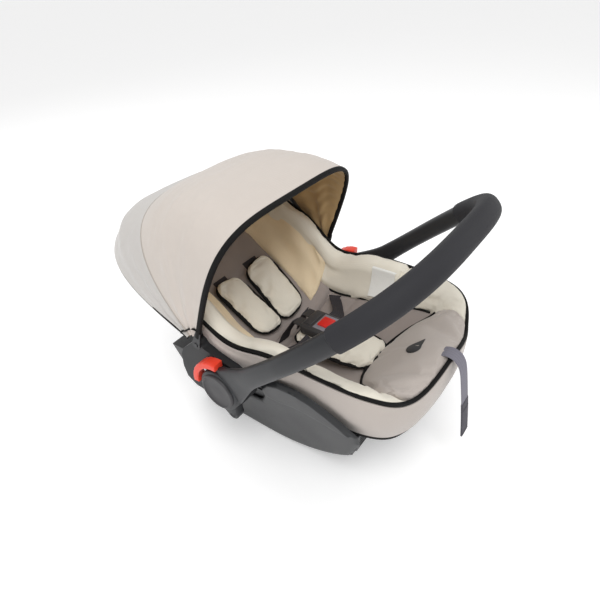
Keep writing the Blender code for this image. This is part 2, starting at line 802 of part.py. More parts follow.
def lobe(side):
    """Rounded tail that reaches below the hub."""
    low, high = sorted((side * (HUB_IN + 0.004), side * (HUB_OUT - CAP_THICK - 0.002)))
    outline = []
    tip = LOBE_REACH - LOBE_R
    for k in range(9):
        angle = LOBE_ANGLE - pi / 2 + pi * k / 8
        outline.append((PIVOT_Y + tip * cos(LOBE_ANGLE) + LOBE_R * cos(angle),
                        PIVOT_Z + tip * sin(LOBE_ANGLE) + LOBE_R * sin(angle)))
    wide = HUB_R - 0.004
    for turned in (pi / 2, -pi / 2):
        outline.append((PIVOT_Y + wide * cos(LOBE_ANGLE + turned),
                        PIVOT_Z + wide * sin(LOBE_ANGLE + turned)))
    return plate(outline, low, high)


def button_direction():
    middle = (BUTTON_FROM + BUTTON_TO) / 2
    return Vector((0, cos(middle), sin(middle)))


def stem(radius, start, end, side):
    """Round bar along the release button's travel, at the button's depth."""
    bm = bmesh.new()
    bmesh.ops.create_cone(bm, cap_ends=True, segments=12, radius1=radius, radius2=radius,
                          depth=end - start)
    turn(bm, atan2(-button_direction().y, button_direction().z))
    middle = Vector((side * STEM_X, PIVOT_Y, PIVOT_Z)) + button_direction() * (start + end) / 2
    return shift(bm, middle)


def build_handle():
    pivot = axis_empty("handle_axis", (0, PIVOT_Y, PIVOT_Z))
    frame = add("handle_frame", handle_sweep(0, HANDLE_STEPS, 0.0), "moulding")
    for word, side in SIDES:
        housing = shift(disc(HUB_R, HUB_IN, HUB_OUT - CAP_THICK, 36, side), (0, PIVOT_Y, PIVOT_Z))
        join(frame, add("housing", housing, "moulding"))
        join(frame, add("lobe", lobe(side), "moulding"))
    for word, side in SIDES:
        depth = BRACKET_OUT + GAP + GEAR_THICK + LINK_GAP
        cavity = shift(disc(GEAR_R + 0.004, 0.15, depth, 32, side), (0, PIVOT_Y, PIVOT_Z))
        cut(frame, add("cavity_cutter", cavity, "foam"))
        hole = shift(disc(BOLT_R + LINK_GAP, 0.15, 0.3, 20, side), (0, PIVOT_Y, PIVOT_Z))
        cut(frame, add("hole_cutter", hole, "foam"))
        cut(frame, add("stem_cutter", stem(STEM_R + LINK_GAP, 0.028, 0.08, side), "foam"))
    add("handle_frame", taken(frame), "moulding", pivot)
    add("handle_grip", grip(), "grip", pivot)
    for word, side in SIDES:
        cap = disc(CAP_R, HUB_OUT - CAP_THICK + GAP, HUB_OUT, 36, side)
        add(f"hub_cap_{word}", shift(cap, (0, PIVOT_Y, PIVOT_Z)), "cap", pivot)
        build_release(word, side, pivot)


def grip():
    """Soft sleeve around the middle of the handle, open at both ends."""
    last = HANDLE_STEPS - GRIP_FROM
    sleeve = add("sleeve", handle_sweep(GRIP_FROM, last, GRIP_WALL + LINK_GAP), "grip")
    cut(sleeve, add("bore", handle_sweep(GRIP_FROM - 1, last + 1, LINK_GAP), "foam"))
    return taken(sleeve)


def build_release(word, side, pivot):
    """Release button: a crescent outside the hub on a stem, with its spring."""
    outline = []
    for k in range(15):
        angle = BUTTON_FROM + (BUTTON_TO - BUTTON_FROM) * k / 14
        outline.append((PIVOT_Y + BUTTON_OUT_R * cos(angle), PIVOT_Z + BUTTON_OUT_R * sin(angle)))
    for k in range(14, -1, -1):
        angle = BUTTON_FROM + (BUTTON_TO - BUTTON_FROM) * k / 14
        outline.append((PIVOT_Y + BUTTON_IN_R * cos(angle), PIVOT_Z + BUTTON_IN_R * sin(angle)))
    low, high = sorted((side * BUTTON_X, side * (BUTTON_X + BUTTON_THICK)))
    button = add("crescent", plate(outline, low, high), "release")
    rod = stem(STEM_R, STEM_IN, BUTTON_IN_R + 0.004, side)
    join(button, add("rod", rod, "release"))
    bm = taken(button)
    slide = axis_empty(f"release_axis_{word}", (side * STEM_X, 0, 0))
    slide.parent = pivot
    slide.matrix_parent_inverse.identity()
    bmesh.ops.translate(bm, verts=bm.verts, vec=(-side * STEM_X, -PIVOT_Y, -PIVOT_Z))
    add(f"release_button_{word}", bm, "release").parent = slide
    tube = bmesh.new()
    bmesh.ops.create_cone(tube, cap_ends=False, segments=12, radius1=SPRING_R, radius2=SPRING_R,
                          depth=BUTTON_IN_R - HUB_R - 4 * GAP)
    bmesh.ops.solidify(tube, geom=tube.faces[:], thickness=SPRING_WALL)
    turn(tube, atan2(-button_direction().y, button_direction().z))
    middle = button_direction() * (BUTTON_IN_R + HUB_R) / 2
    shift(tube, Vector((side * STEM_X, PIVOT_Y, PIVOT_Z)) + middle)
    add(f"release_spring_{word}", tube, "steel", pivot)


# ---------------------------------------------------------------- canopy

def canopy_values(angle):
    """Reach and roundness of the canopy's arch at an angle about its pivot."""
    stations = ((BOW_ANGLE, BOW_REACH, BOW_ROUND), (SEAM_ANGLE, SEAM_REACH, SEAM_ROUND),
                (FULL_ANGLE, FULL_REACH, HEM_ROUND), (HEM_ANGLE, HEM_REACH, HEM_ROUND))
    for first, second in zip(stations, stations[1:]):
        if angle <= second[0]:
            break
    share = max(0.0, min(1.0, (angle - first[0]) / (second[0] - first[0])))
    share = share * share * (3 - 2 * share)
    return (first[1] + (second[1] - first[1]) * share, first[2] + (second[2] - first[2]) * share)


def canopy_point(angle, along, inset=0.0, foot=None):
    """Point on the canopy's outside; along runs -1 to 1 from the right pivot to the left."""
    reach, power = canopy_values(angle)
    start = CANOPY_FOOT_R if foot is None else foot
    low = (start / reach) ** (power / 2)
    from_angle = atan2(low, (1 - low * low) ** 0.5)
    bend = pi / 2 - (pi / 2 - from_angle) * abs(along)
    radial = (reach - inset) * sin(bend) ** (2 / power)
    x = (CANOPY_HALF - inset) * max(cos(bend), 0.0) ** (2 / power)
    x = x if along > 0 else -x
    return Vector((x, CANOPY_Y - radial * cos(angle), CANOPY_Z + radial * sin(angle)))


def gore(start, end, steps):
    """Closed sheet of the canopy between two angles."""
    bm = bmesh.new()
    across = 28
    grid = []
    for i in range(steps + 1):
        angle = start + (end - start) * i / steps
        grid.append([bm.verts.new(canopy_point(angle, 2 * k / across - 1))
                     for k in range(across + 1)])
    for i in range(steps):
        for k in range(across):
            bm.faces.new((grid[i][k], grid[i][k + 1], grid[i + 1][k + 1], grid[i + 1][k]))
    bmesh.ops.recalc_face_normals(bm, faces=bm.faces)
    top = max(bm.faces, key=lambda f: f.calc_center_median().z)
    bm.normal_update()
    if top.normal.z < 0:
        bmesh.ops.reverse_faces(bm, faces=bm.faces)
    bm.normal_update()
    normals = [v.normal.copy() for v in bm.verts]
    bm.verts.index_update()
    spots = {v.index: normals[v.index] for v in bm.verts}
    tree = KDTree(len(bm.verts))
    for vert in bm.verts:
        tree.insert(vert.co, vert.index)
    tree.balance()
    grown = bmesh.ops.extrude_face_region(bm, geom=bm.faces[:], use_keep_orig=True)
    for vert in grown["geom"]:
        if isinstance(vert, bmesh.types.BMVert):
            vert.co -= spots[tree.find(vert.co)[1]] * CANOPY_THICK
    return bm


def bow(angle, foot):
    """Round bow inside the canopy cloth, from one side's foot to the other's."""
    path = [canopy_point(angle, 1 - 2 * k / 32, BOW_INSET, foot) for k in range(33)]
    normal = Vector((0, sin(angle), cos(angle)))
    return swept(path, [(BOW_TUBE_R, BOW_TUBE_R)] * len(path), normal, steps=8)


def build_canopy():
    axis = axis_empty("canopy_axis", (0, CANOPY_Y, CANOPY_Z))
    seam = CANOPY_SEAM / SEAM_REACH
    add("canopy_front_panel", gore(BOW_ANGLE, SEAM_ANGLE - seam, 7), "canopy_cloth", axis)
    add("canopy_rear_panel", gore(SEAM_ANGLE + seam, HEM_ANGLE, 5), "canopy_cloth")
    add("canopy_front_bow", bow(BOW_ANGLE, BOW_FOOT_R), "moulding", axis)
    add("canopy_rear_bow", bow(SEAM_ANGLE, EAR_R + GAP), "moulding")
    for word, side in SIDES:
        low, high = sorted((side * BLADE_IN, side * (BLADE_IN + BLADE_THICK)))
        outline = []
        for k in range(9):
            angle = BOW_ANGLE + pi / 2 + pi * k / 8
            outline.append((-BLADE_R * cos(angle), BLADE_R * sin(angle)))
        tip = Vector((-cos(BOW_ANGLE), sin(BOW_ANGLE))) * BLADE_REACH
        wide = Vector((sin(BOW_ANGLE), cos(BOW_ANGLE))) * BLADE_TIP
        outline.append((tip.x - wide.x, tip.y - wide.y))
        outline.append((tip.x + wide.x, tip.y + wide.y))
        outline = [(CANOPY_Y + y, CANOPY_Z + z) for y, z in outline]
        blade = add("blade", plate(outline, low, high), "moulding")
        hole = shift(disc(PIN_R + LINK_GAP, 0.15, 0.3, 16, side), (0, CANOPY_Y, CANOPY_Z))
        cut(blade, add("hole_cutter", hole, "foam"))
        bow_side = CANOPY_HALF - BOW_INSET + BOW_TUBE_R + GAP
        boss = disc(BLADE_TIP - 0.001, bow_side, BLADE_IN + BLADE_THICK / 2, 16, side)
        seat = Vector((0, -cos(BOW_ANGLE), sin(BOW_ANGLE))) * (BOW_FOOT_R + BLADE_SEAT)
        shift(boss, Vector((0, CANOPY_Y, CANOPY_Z)) + seat)
        join(blade, add("boss", boss, "moulding"))
        add(f"canopy_blade_{word}", taken(blade), "moulding", axis)


# ---------------------------------------------------------------- harness

def tilted(bm, place, pitch=0.0, yaw=0.0):
    """Turn a shape about X by pitch and about Z by yaw, and put it in its place."""
    turn(bm, pitch, "X")
    turn(bm, yaw, "Z")
    return shift(bm, place)


def seat_top(y, lift):
    """Point on the seat's centre line at y, lifted along its normal, and the slope there."""
    ahead = keel_height(SEAT_KEEL, y + 0.004)
    behind = keel_height(SEAT_KEEL, y - 0.004)
    slope = atan2(ahead - behind, 0.008)
    place = Vector((0, y - lift * sin(slope), keel_height(SEAT_KEEL, y) + lift * cos(slope)))
    return place, slope


def build_harness():
    wide, thick = SHOULDER_PAD
    strap_lift = TOUCH * 2 + INSERT_THICK + WEB_THICK / 2 + BACK_RISE
    pad_lift = strap_lift + WEB_THICK / 2 + PAD_AIR + thick / 2
    for word, side in SIDES:
        lean = (1, 0, side * sin(SHOULDER_ROLL))
        route = []
        for k in range(9):
            y = PAD_TOP_Y + (PAD_LOW_Y - PAD_TOP_Y) * k / 8
            spot, _ = seat_top(y, pad_lift)
            route.append(spot + Vector((side * strap_spread(y), 0, 0)))
        section = [(wide / 2, thick / 2)] * 9
        section[0] = section[8] = (wide / 2 - 0.006, thick / 2 - 0.003)
        add(f"shoulder_pad_{word}", swept(route, section, lean, 12, 4.0), "cloth_cream")
        route = shoulder_route(side, strap_lift)
        last = len(route) - 1
        section = []
        for k in range(last + 1):
            share = max(0.0, 2 * k / last - 1)
            half = (WEB_WIDE + (WEB_NARROW - WEB_WIDE) * share) / 2
            section.append((half, WEB_THICK / 2))
        add(f"shoulder_strap_{word}", swept(route, section, lean, 8, 5.0), "webbing")
        hip = [Vector((side * x, y, z)) for x, y, z in HIP_ROUTE]
        section = [(STRAP_WIDE / 2, WEB_THICK / 2)] * len(hip)
        add(f"hip_strap_{word}", swept(hip, section, (0, 1, 0.3), 8, 5.0), "webbing")
    build_buckle()
    build_crotch()


def strap_spread(y):
    """Distance of the shoulder straps from the centre line at y."""
    share = (STRAP_TOP_Y - y) / (STRAP_TOP_Y - STRAP_LOW_Y)
    return SHOULDER_X - (SHOULDER_X - STRAP_LOW_X) * share ** 1.5


def shoulder_route(side, lift):
    """Centre line of a shoulder strap, from the back down to its tongue."""
    route = []
    for k in range(6):
        y = STRAP_TOP_Y - (STRAP_TOP_Y - STRAP_LOW_Y) * k / 5
        spot, _ = seat_top(y, lift)
        route.append(spot + Vector((side * strap_spread(y), 0, 0)))
    end = tongue_place(side)
    for share, rise in ((0.35, 0.002), (0.70, 0.001), (1.0, 0.0)):
        route.append(route[5].lerp(end, share) + Vector((0, 0, rise)))
    return route


def tongue_place(side):
    """Where a shoulder strap ends on its tongue."""
    y = BUCKLE_Y + BUCKLE[1] / 2 + TONGUE_OUT + 0.002
    return Vector((side * TONGUE_X, y, BUCKLE_Z + TONGUE_LIFT))


def build_buckle():
    wide, long, thick = BUCKLE
    body = add("buckle_body", shift(rounded_box(BUCKLE, 0.005), (0, BUCKLE_Y, BUCKLE_Z)),
               "moulding")
    button_wide, button_long, button_high = BUCKLE_BUTTON
    pocket = rounded_box((button_wide + 2 * LINK_GAP, button_long + 2 * LINK_GAP, 0.04), 0)
    floor = BUCKLE_Z + thick / 2 + BUTTON_PROUD - button_high - BUCKLE_TRAVEL - LINK_GAP
    y = BUCKLE_Y + BUTTON_AHEAD
    cut(body, add("pocket_cutter", shift(pocket, (0, y, floor + 0.02)), "foam"))
    button = rounded_box(BUCKLE_BUTTON, 0.0012)
    top = BUCKLE_Z + thick / 2 + BUTTON_PROUD
    slide = axis_empty("buckle_button_axis", (0, y, top - button_high / 2))
    shift(button, (0, y, top - button_high / 2))
    add("buckle_button", button, "buckle_red", slide)
    for word, side in SIDES:
        slot = rounded_box((TONGUE_WIDE + 2 * LINK_GAP, 0.05, TONGUE_THICK + 2 * LINK_GAP), 0)
        start = BUCKLE_Y + long / 2 - TONGUE_IN - LINK_GAP
        place = (side * TONGUE_X, start + 0.025, BUCKLE_Z + TONGUE_LIFT)
        cut(body, add("slot_cutter", shift(slot, place), "foam"))
        tongue = rounded_box((TONGUE_WIDE, TONGUE_IN + TONGUE_OUT - TOUCH, TONGUE_THICK), 0)
        middle = BUCKLE_Y + long / 2 + (TONGUE_OUT - TOUCH - TONGUE_IN) / 2
        shift(tongue, (side * TONGUE_X, middle, BUCKLE_Z + TONGUE_LIFT))
        add(f"tongue_{word}", tongue, "steel", smooth=False)


def build_crotch():
    wide, long, thick = CROTCH_PAD
    outline = []
    for y, half in ((-0.5, 0.34), (-0.42, 0.46), (0.05, 0.5), (0.36, 0.42), (0.5, 0.26)):
        outline.append((half * wide, y * long))
    outline += [(-x, y) for x, y in reversed(outline)]
    bm = bmesh.new()
    face = bm.faces.new([bm.verts.new((x, y, -thick / 2)) for x, y in outline])
    grown = bmesh.ops.extrude_face_region(bm, geom=[face], use_keep_orig=True)
    moved = [v for v in grown["geom"] if isinstance(v, bmesh.types.BMVert)]
    bmesh.ops.translate(bm, verts=moved, vec=(0, 0, thick))
    add("crotch_pad", tilted(bm, CROTCH_PLACE, CROTCH_TILT), "cloth_cream")
    route = [Vector(p) for p in CROTCH_ROUTE]
    section = [(WEB_WIDE / 2, WEB_THICK / 2)] * len(route)
    add("crotch_strap", swept(route, section, (1, 0, 0), 8, 5.0), "webbing")


def build_adjuster():
    """Harness adjuster in the foot panel: button, strap guide and the free strap end."""
    place, slope = seat_top(ADJUSTER_Y, 0)
    panel = bpy.data.objects["foot_panel"]
    hole = tilted(teardrop(LINK_GAP + 0.001, 0.06), place, slope)
    cut(panel, add("teardrop_cutter", hole, "foam"))
    normal = Vector((0, -sin(slope), cos(slope)))
    slide = axis_empty("adjuster_axis", place)
    button = tilted(teardrop(0.0, ADJUSTER_THICK), place - normal * (ADJUSTER_THICK / 2 + 0.001),
                    slope)
    add("adjuster_button", button, "rubber", slide)
    guide = rounded_box((STRAP_WIDE + 0.010, 0.010, 0.003), 0)
    add("strap_guide", tilted(guide, GUIDE_PLACE, GUIDE_TILT), "moulding", smooth=False)
    route = [Vector(p) for p in STRAP_ROUTE]
    path = [spline(route, (len(route) - 1) * k / 28) for k in range(29)]
    section = [(STRAP_WIDE / 2, STRAP_THICK / 2)] * len(path)
    add("adjuster_strap", swept(path, section, (1, 0, 0), 8, 6.0), "strap")


def teardrop(grow, height):
    """Upright prism with a round end towards the child and a pointed end towards the foot."""
    outline = []
    for k in range(13):
        angle = radians(-25) + radians(230) * k / 12
        outline.append((TEAR_R * cos(angle), TEAR_R * sin(angle)))
    outline.append((TEAR_X, -TEAR_REACH))
    scale = 1 + grow / TEAR_R
    bm = bmesh.new()
    face = bm.faces.new([bm.verts.new((x * scale, y * scale, -height / 2)) for x, y in outline])
    grown = bmesh.ops.extrude_face_region(bm, geom=[face], use_keep_orig=True)
    moved = [v for v in grown["geom"] if isinstance(v, bmesh.types.BMVert)]
    bmesh.ops.translate(bm, verts=moved, vec=(0, 0, height))
    return bm


def build_label():
    """Blank sewn label that lies on the inside of the left bolster."""
    bm = bmesh.new()
    steps = 4
    grid = []
    for i in range(steps + 1):
        around = LABEL_AROUND[0] + (LABEL_AROUND[1] - LABEL_AROUND[0]) * i / steps
        row = []
        for j in range(steps + 1):
            up = LABEL_UP[0] + (LABEL_UP[1] - LABEL_UP[0]) * j / steps
            row.append(bm.verts.new(hull_point(SEAT_KEEL, SEAT_ROUND, SEAT_INSET, around, up)))
        grid.append(row)
    for i in range(steps):
        for j in range(steps):
            bm.faces.new((grid[i][j], grid[i + 1][j], grid[i + 1][j + 1], grid[i][j + 1]))
    bm.normal_update()
    if next(iter(bm.faces)).normal.x > 0:
        bmesh.ops.reverse_faces(bm, faces=bm.faces)
    bm.normal_update()
    for vert in bm.verts:
        vert.co += vert.normal * (2 * TOUCH + LABEL_THICK)
    add("sewn_label", thicken(bm, lambda face: True, LABEL_THICK), "label")


def main():
    clear_scene()
    build_shell()
    build_liner()
    build_cover()
    build_insert()
    build_skirt()
    build_piping()
    cutter = hull_cutter(GAP)
    build_base(cutter)
    build_side_covers()
    build_brackets(cutter)
    build_handle()
    build_canopy()
    build_harness()
    build_adjuster()
    build_label()
    bpy.data.objects.remove(cutter, do_unlink=True)


if __name__ == "__main__":
    main()
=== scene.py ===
"""Visual model of an infant car seat: carry handle, folding canopy, padded cover and harness.

Frame: +Z up from the floor, -Y towards the foot end, +X to the child's left, sizes in metres.
"""

import logging
from bisect import bisect_right
from collections.abc import Callable, Sequence
from dataclasses import dataclass, field
from enum import Enum
from functools import lru_cache
from math import atan2, cos, exp, pi, radians, sin, sqrt

import bmesh
import bpy
from mathutils import Matrix, Vector, noise


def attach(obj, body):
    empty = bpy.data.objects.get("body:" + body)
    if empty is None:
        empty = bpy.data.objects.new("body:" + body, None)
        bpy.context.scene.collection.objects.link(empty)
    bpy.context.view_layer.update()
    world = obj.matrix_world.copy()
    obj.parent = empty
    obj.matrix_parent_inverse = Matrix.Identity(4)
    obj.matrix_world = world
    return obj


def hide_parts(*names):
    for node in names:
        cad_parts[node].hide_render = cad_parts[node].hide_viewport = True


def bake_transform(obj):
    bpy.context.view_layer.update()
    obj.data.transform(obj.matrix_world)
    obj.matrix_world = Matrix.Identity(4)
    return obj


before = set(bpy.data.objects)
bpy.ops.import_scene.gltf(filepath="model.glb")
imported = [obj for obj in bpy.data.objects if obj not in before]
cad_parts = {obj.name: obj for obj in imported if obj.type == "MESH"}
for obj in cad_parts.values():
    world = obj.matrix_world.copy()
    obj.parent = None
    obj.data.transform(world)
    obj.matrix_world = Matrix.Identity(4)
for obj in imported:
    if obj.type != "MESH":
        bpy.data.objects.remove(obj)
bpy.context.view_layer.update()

LOG = logging.getLogger("infant_seat")
Place = Callable[[float, float], Vector]
Profile = Callable[[float, float], float]
Section = Callable[[float, float], tuple[float, float]]

RIM_POINTS = (
    (0.000, -0.318, 0.242), (0.097, -0.303, 0.224), (0.158, -0.254, 0.254),
    (0.169, -0.102, 0.262), (0.170, 0.002, 0.250), (0.174, 0.100, 0.312),
    (0.148, 0.244, 0.366), (0.000, 0.268, 0.380),
)
SHELL_KEEL = (
    (-0.236, 0.082), (-0.150, 0.052), (-0.040, 0.034), (0.050, 0.036), (0.120, 0.092),
    (0.180, 0.185), (0.232, 0.290),
)
SEAT_KEEL = (
    (-0.262, 0.206), (-0.215, 0.188), (-0.140, 0.154), (-0.060, 0.132), (0.010, 0.140),
    (0.080, 0.190), (0.160, 0.252), (0.222, 0.322),
)
PIVOT = Vector((0.0, -0.012, 0.186))
CANOPY_PIVOT = Vector((0.0, 0.050, 0.242))
ABOVE_SEAT = Vector((0.0, -0.050, 0.470))
BUCKLE_PLACE = Vector((0.0, -0.072, 0.203))
CROTCH_PLACE = Vector((0.0, -0.120, 0.1836))


class Side(Enum):
    """The two mirrored sides of the seat."""

    LEFT = 1.0
    RIGHT = -1.0

    @property
    def word(self) -> str:
        """Lower-case name used in piece names."""
        return self.name.lower()


class Turn(Enum):
    """Named joint bodies that pieces ride on."""

    CARRIER = "carrier"
    HANDLE = "handle"
    CANOPY = "canopy"
    BUCKLE = "buckle_press"
    ADJUSTER = "adjuster"


# ---------------------------------------------------------------- curves and surfaces

def spline(points: Sequence[Sequence[float]], value: float, before: Sequence[float] | None = None,
           after: Sequence[float] | None = None) -> Vector:
    """Catmull-Rom curve through points.

    Args:
        points: Points of the curve.
        value: Place along the curve, from 0 to the last index.
        before: Neighbour ahead of the first point, if the curve goes on there.
        after: Neighbour behind the last point.

    Returns:
        The point of the curve.
    """
    last = len(points) - 1
    base = max(0, min(int(value), last - 1))
    step = value - base
    low = points[base - 1] if base else (before or points[0])
    high = points[base + 2] if base + 2 <= last else (after or points[last])
    ring = [Vector(p) for p in (low, points[base], points[base + 1], high)]
    one = (ring[2] - ring[0]) * 0.5
    two = (ring[3] - ring[1]) * 0.5
    square = step * step
    cube = square * step
    return (ring[1] * (2 * cube - 3 * square + 1) + one * (cube - 2 * square + step)
            + ring[2] * (3 * square - 2 * cube) + two * (cube - square))


def resampled(points: Sequence[Sequence[float]], count: int) -> list[Vector]:
    """A curve through points, sampled count + 1 times."""
    return [spline(points, (len(points) - 1) * k / count) for k in range(count + 1)]


def smooth_step(value: float) -> float:
    """Ease from 0 to 1."""
    value = max(0.0, min(1.0, value))
    return value * value * (3 - 2 * value)


def dense_ends(value: float, pull: float = 0.72) -> float:
    """Draw samples of 0 to 1 closer together near both ends."""
    return value - pull * sin(2 * pi * value) / (2 * pi)


def rounding(distance: float, radius: float) -> float:
    """Quarter round from 0 at an edge to 1 at radius from it."""
    left = 1 - min(max(distance, 0.0) / radius, 1.0)
    return sqrt(max(0.0, 1 - left * left))


def groove(distance: float, width: float) -> float:
    """Soft notch profile, 1 at its middle."""
    return exp(-(distance / width) ** 2)


def facing_normal(place: Place, u: float, v: float, toward: Vector) -> Vector:
    """Unit normal of a mapped surface on the side of a point."""
    step = 0.004
    u = min(max(u, step), 1 - step)
    v = min(max(v, step), 1 - step)
    one = place(u + step, v) - place(u - step, v)
    two = place(u, v + step) - place(u, v - step)
    normal = one.cross(two)
    if normal.length < 1e-12:
        return Vector((0, 0, 1))
    normal.normalize()
    return normal if normal.dot(toward - place(u, v)) > 0 else -normal


@lru_cache(maxsize=None)
def rim_point(half: float) -> Vector:
    """Point of the rim; half runs 0 to 1 from the foot centre to the head centre."""
    def mirrored(point: Sequence[float]) -> tuple[float, float, float]:
        """Point on the other side of the middle plane."""
        return (-point[0], point[1], point[2])

    value = half * (len(RIM_POINTS) - 1)
    return spline(RIM_POINTS, value, mirrored(RIM_POINTS[1]), mirrored(RIM_POINTS[-2]))


@dataclass(frozen=True)
class Hull:
    """Bucket surface between a keel line and the rim.

    Attributes:
        keel: Centre line as (y, z) points, foot to head.
        power: Superellipse exponent of its cross-section.
        inset: How far its rim lies inside the shell's rim.
    """

    keel: tuple[tuple[float, float], ...]
    power: float
    inset: float = 0.0

    @property
    def samples(self) -> tuple[list[float], list[float]]:
        """The keel line as sorted y values and their heights."""
        return keel_samples(self.keel)

    def height(self, y: float) -> float:
        """Height of the keel line at y."""
        ys, zs = self.samples
        index = min(max(bisect_right(ys, y) - 1, 0), len(ys) - 2)
        share = (y - ys[index]) / (ys[index + 1] - ys[index])
        return zs[index] + (zs[index + 1] - zs[index]) * max(0.0, min(1.0, share))

    def rim(self, around: float) -> Vector:
        """Rim point; around runs 0 to 1 to 2, or below 0, from the foot centre by the left side."""
        around %= 2.0
        half = around if around <= 1 else 2 - around
        point = rim_point(round(half, 5)).copy()
        middle = Vector((0.0, (RIM_POINTS[0][1] + RIM_POINTS[-1][1]) / 2, point.z))
        point += (middle - point).normalized() * self.inset
        point.x *= 1.0 if around <= 1 else -1.0
        return point

    def point(self, around: float, up: float) -> Vector:
        """Surface point; up runs 0 to 1 from the keel line to the rim."""
        rim = self.rim(around)
        foot, head = RIM_POINTS[0][1], RIM_POINTS[-1][1]
        share = (rim_point(round(min(around % 2, 2 - around % 2), 5)).y - foot) / (head - foot)
        y = self.keel[0][0] + share * (self.keel[-1][0] - self.keel[0][0])
        z = self.height(y)
        angle = up * pi / 2
        out = sin(angle) ** (2 / self.power)
        rise = 1 - max(cos(angle), 0.0) ** (2 / self.power)
        return Vector((rim.x * out, y + (rim.y - y) * out, z + (rim.z - z) * rise))

    def over(self, x: float, y: float) -> Vector:
        """Surface point above a place of the plan."""
        side = 1.0 if x >= 0 else -1.0
        up = 0.5
        for _ in range(14):
            low, high = 0.0, 1.0
            for _ in range(14):
                middle = (low + high) / 2
                if self.point(middle, up).y < y:
                    low = middle
                else:
                    high = middle
            around = (low + high) / 2
            reach = max(self.rim(around).x, 1e-6)
            share = min(abs(x) / reach, 0.999) ** (self.power / 2)
            up = atan2(share, sqrt(1 - share * share)) / (pi / 2)
        found = self.point(around, up)
        found.x *= side
        return found


@lru_cache(maxsize=None)
def keel_samples(keel: tuple[tuple[float, float], ...]) -> tuple[list[float], list[float]]:
    """A keel line sampled finely, as y values and heights."""
    points = [(0.0, *p) for p in keel]
    line = resampled(points, 600)
    return [p.y for p in line], [p.z for p in line]


SHELL = Hull(SHELL_KEEL, 1.9)
SEAT = Hull(SEAT_KEEL, 2.1, 0.024)


# ---------------------------------------------------------------- mesh building

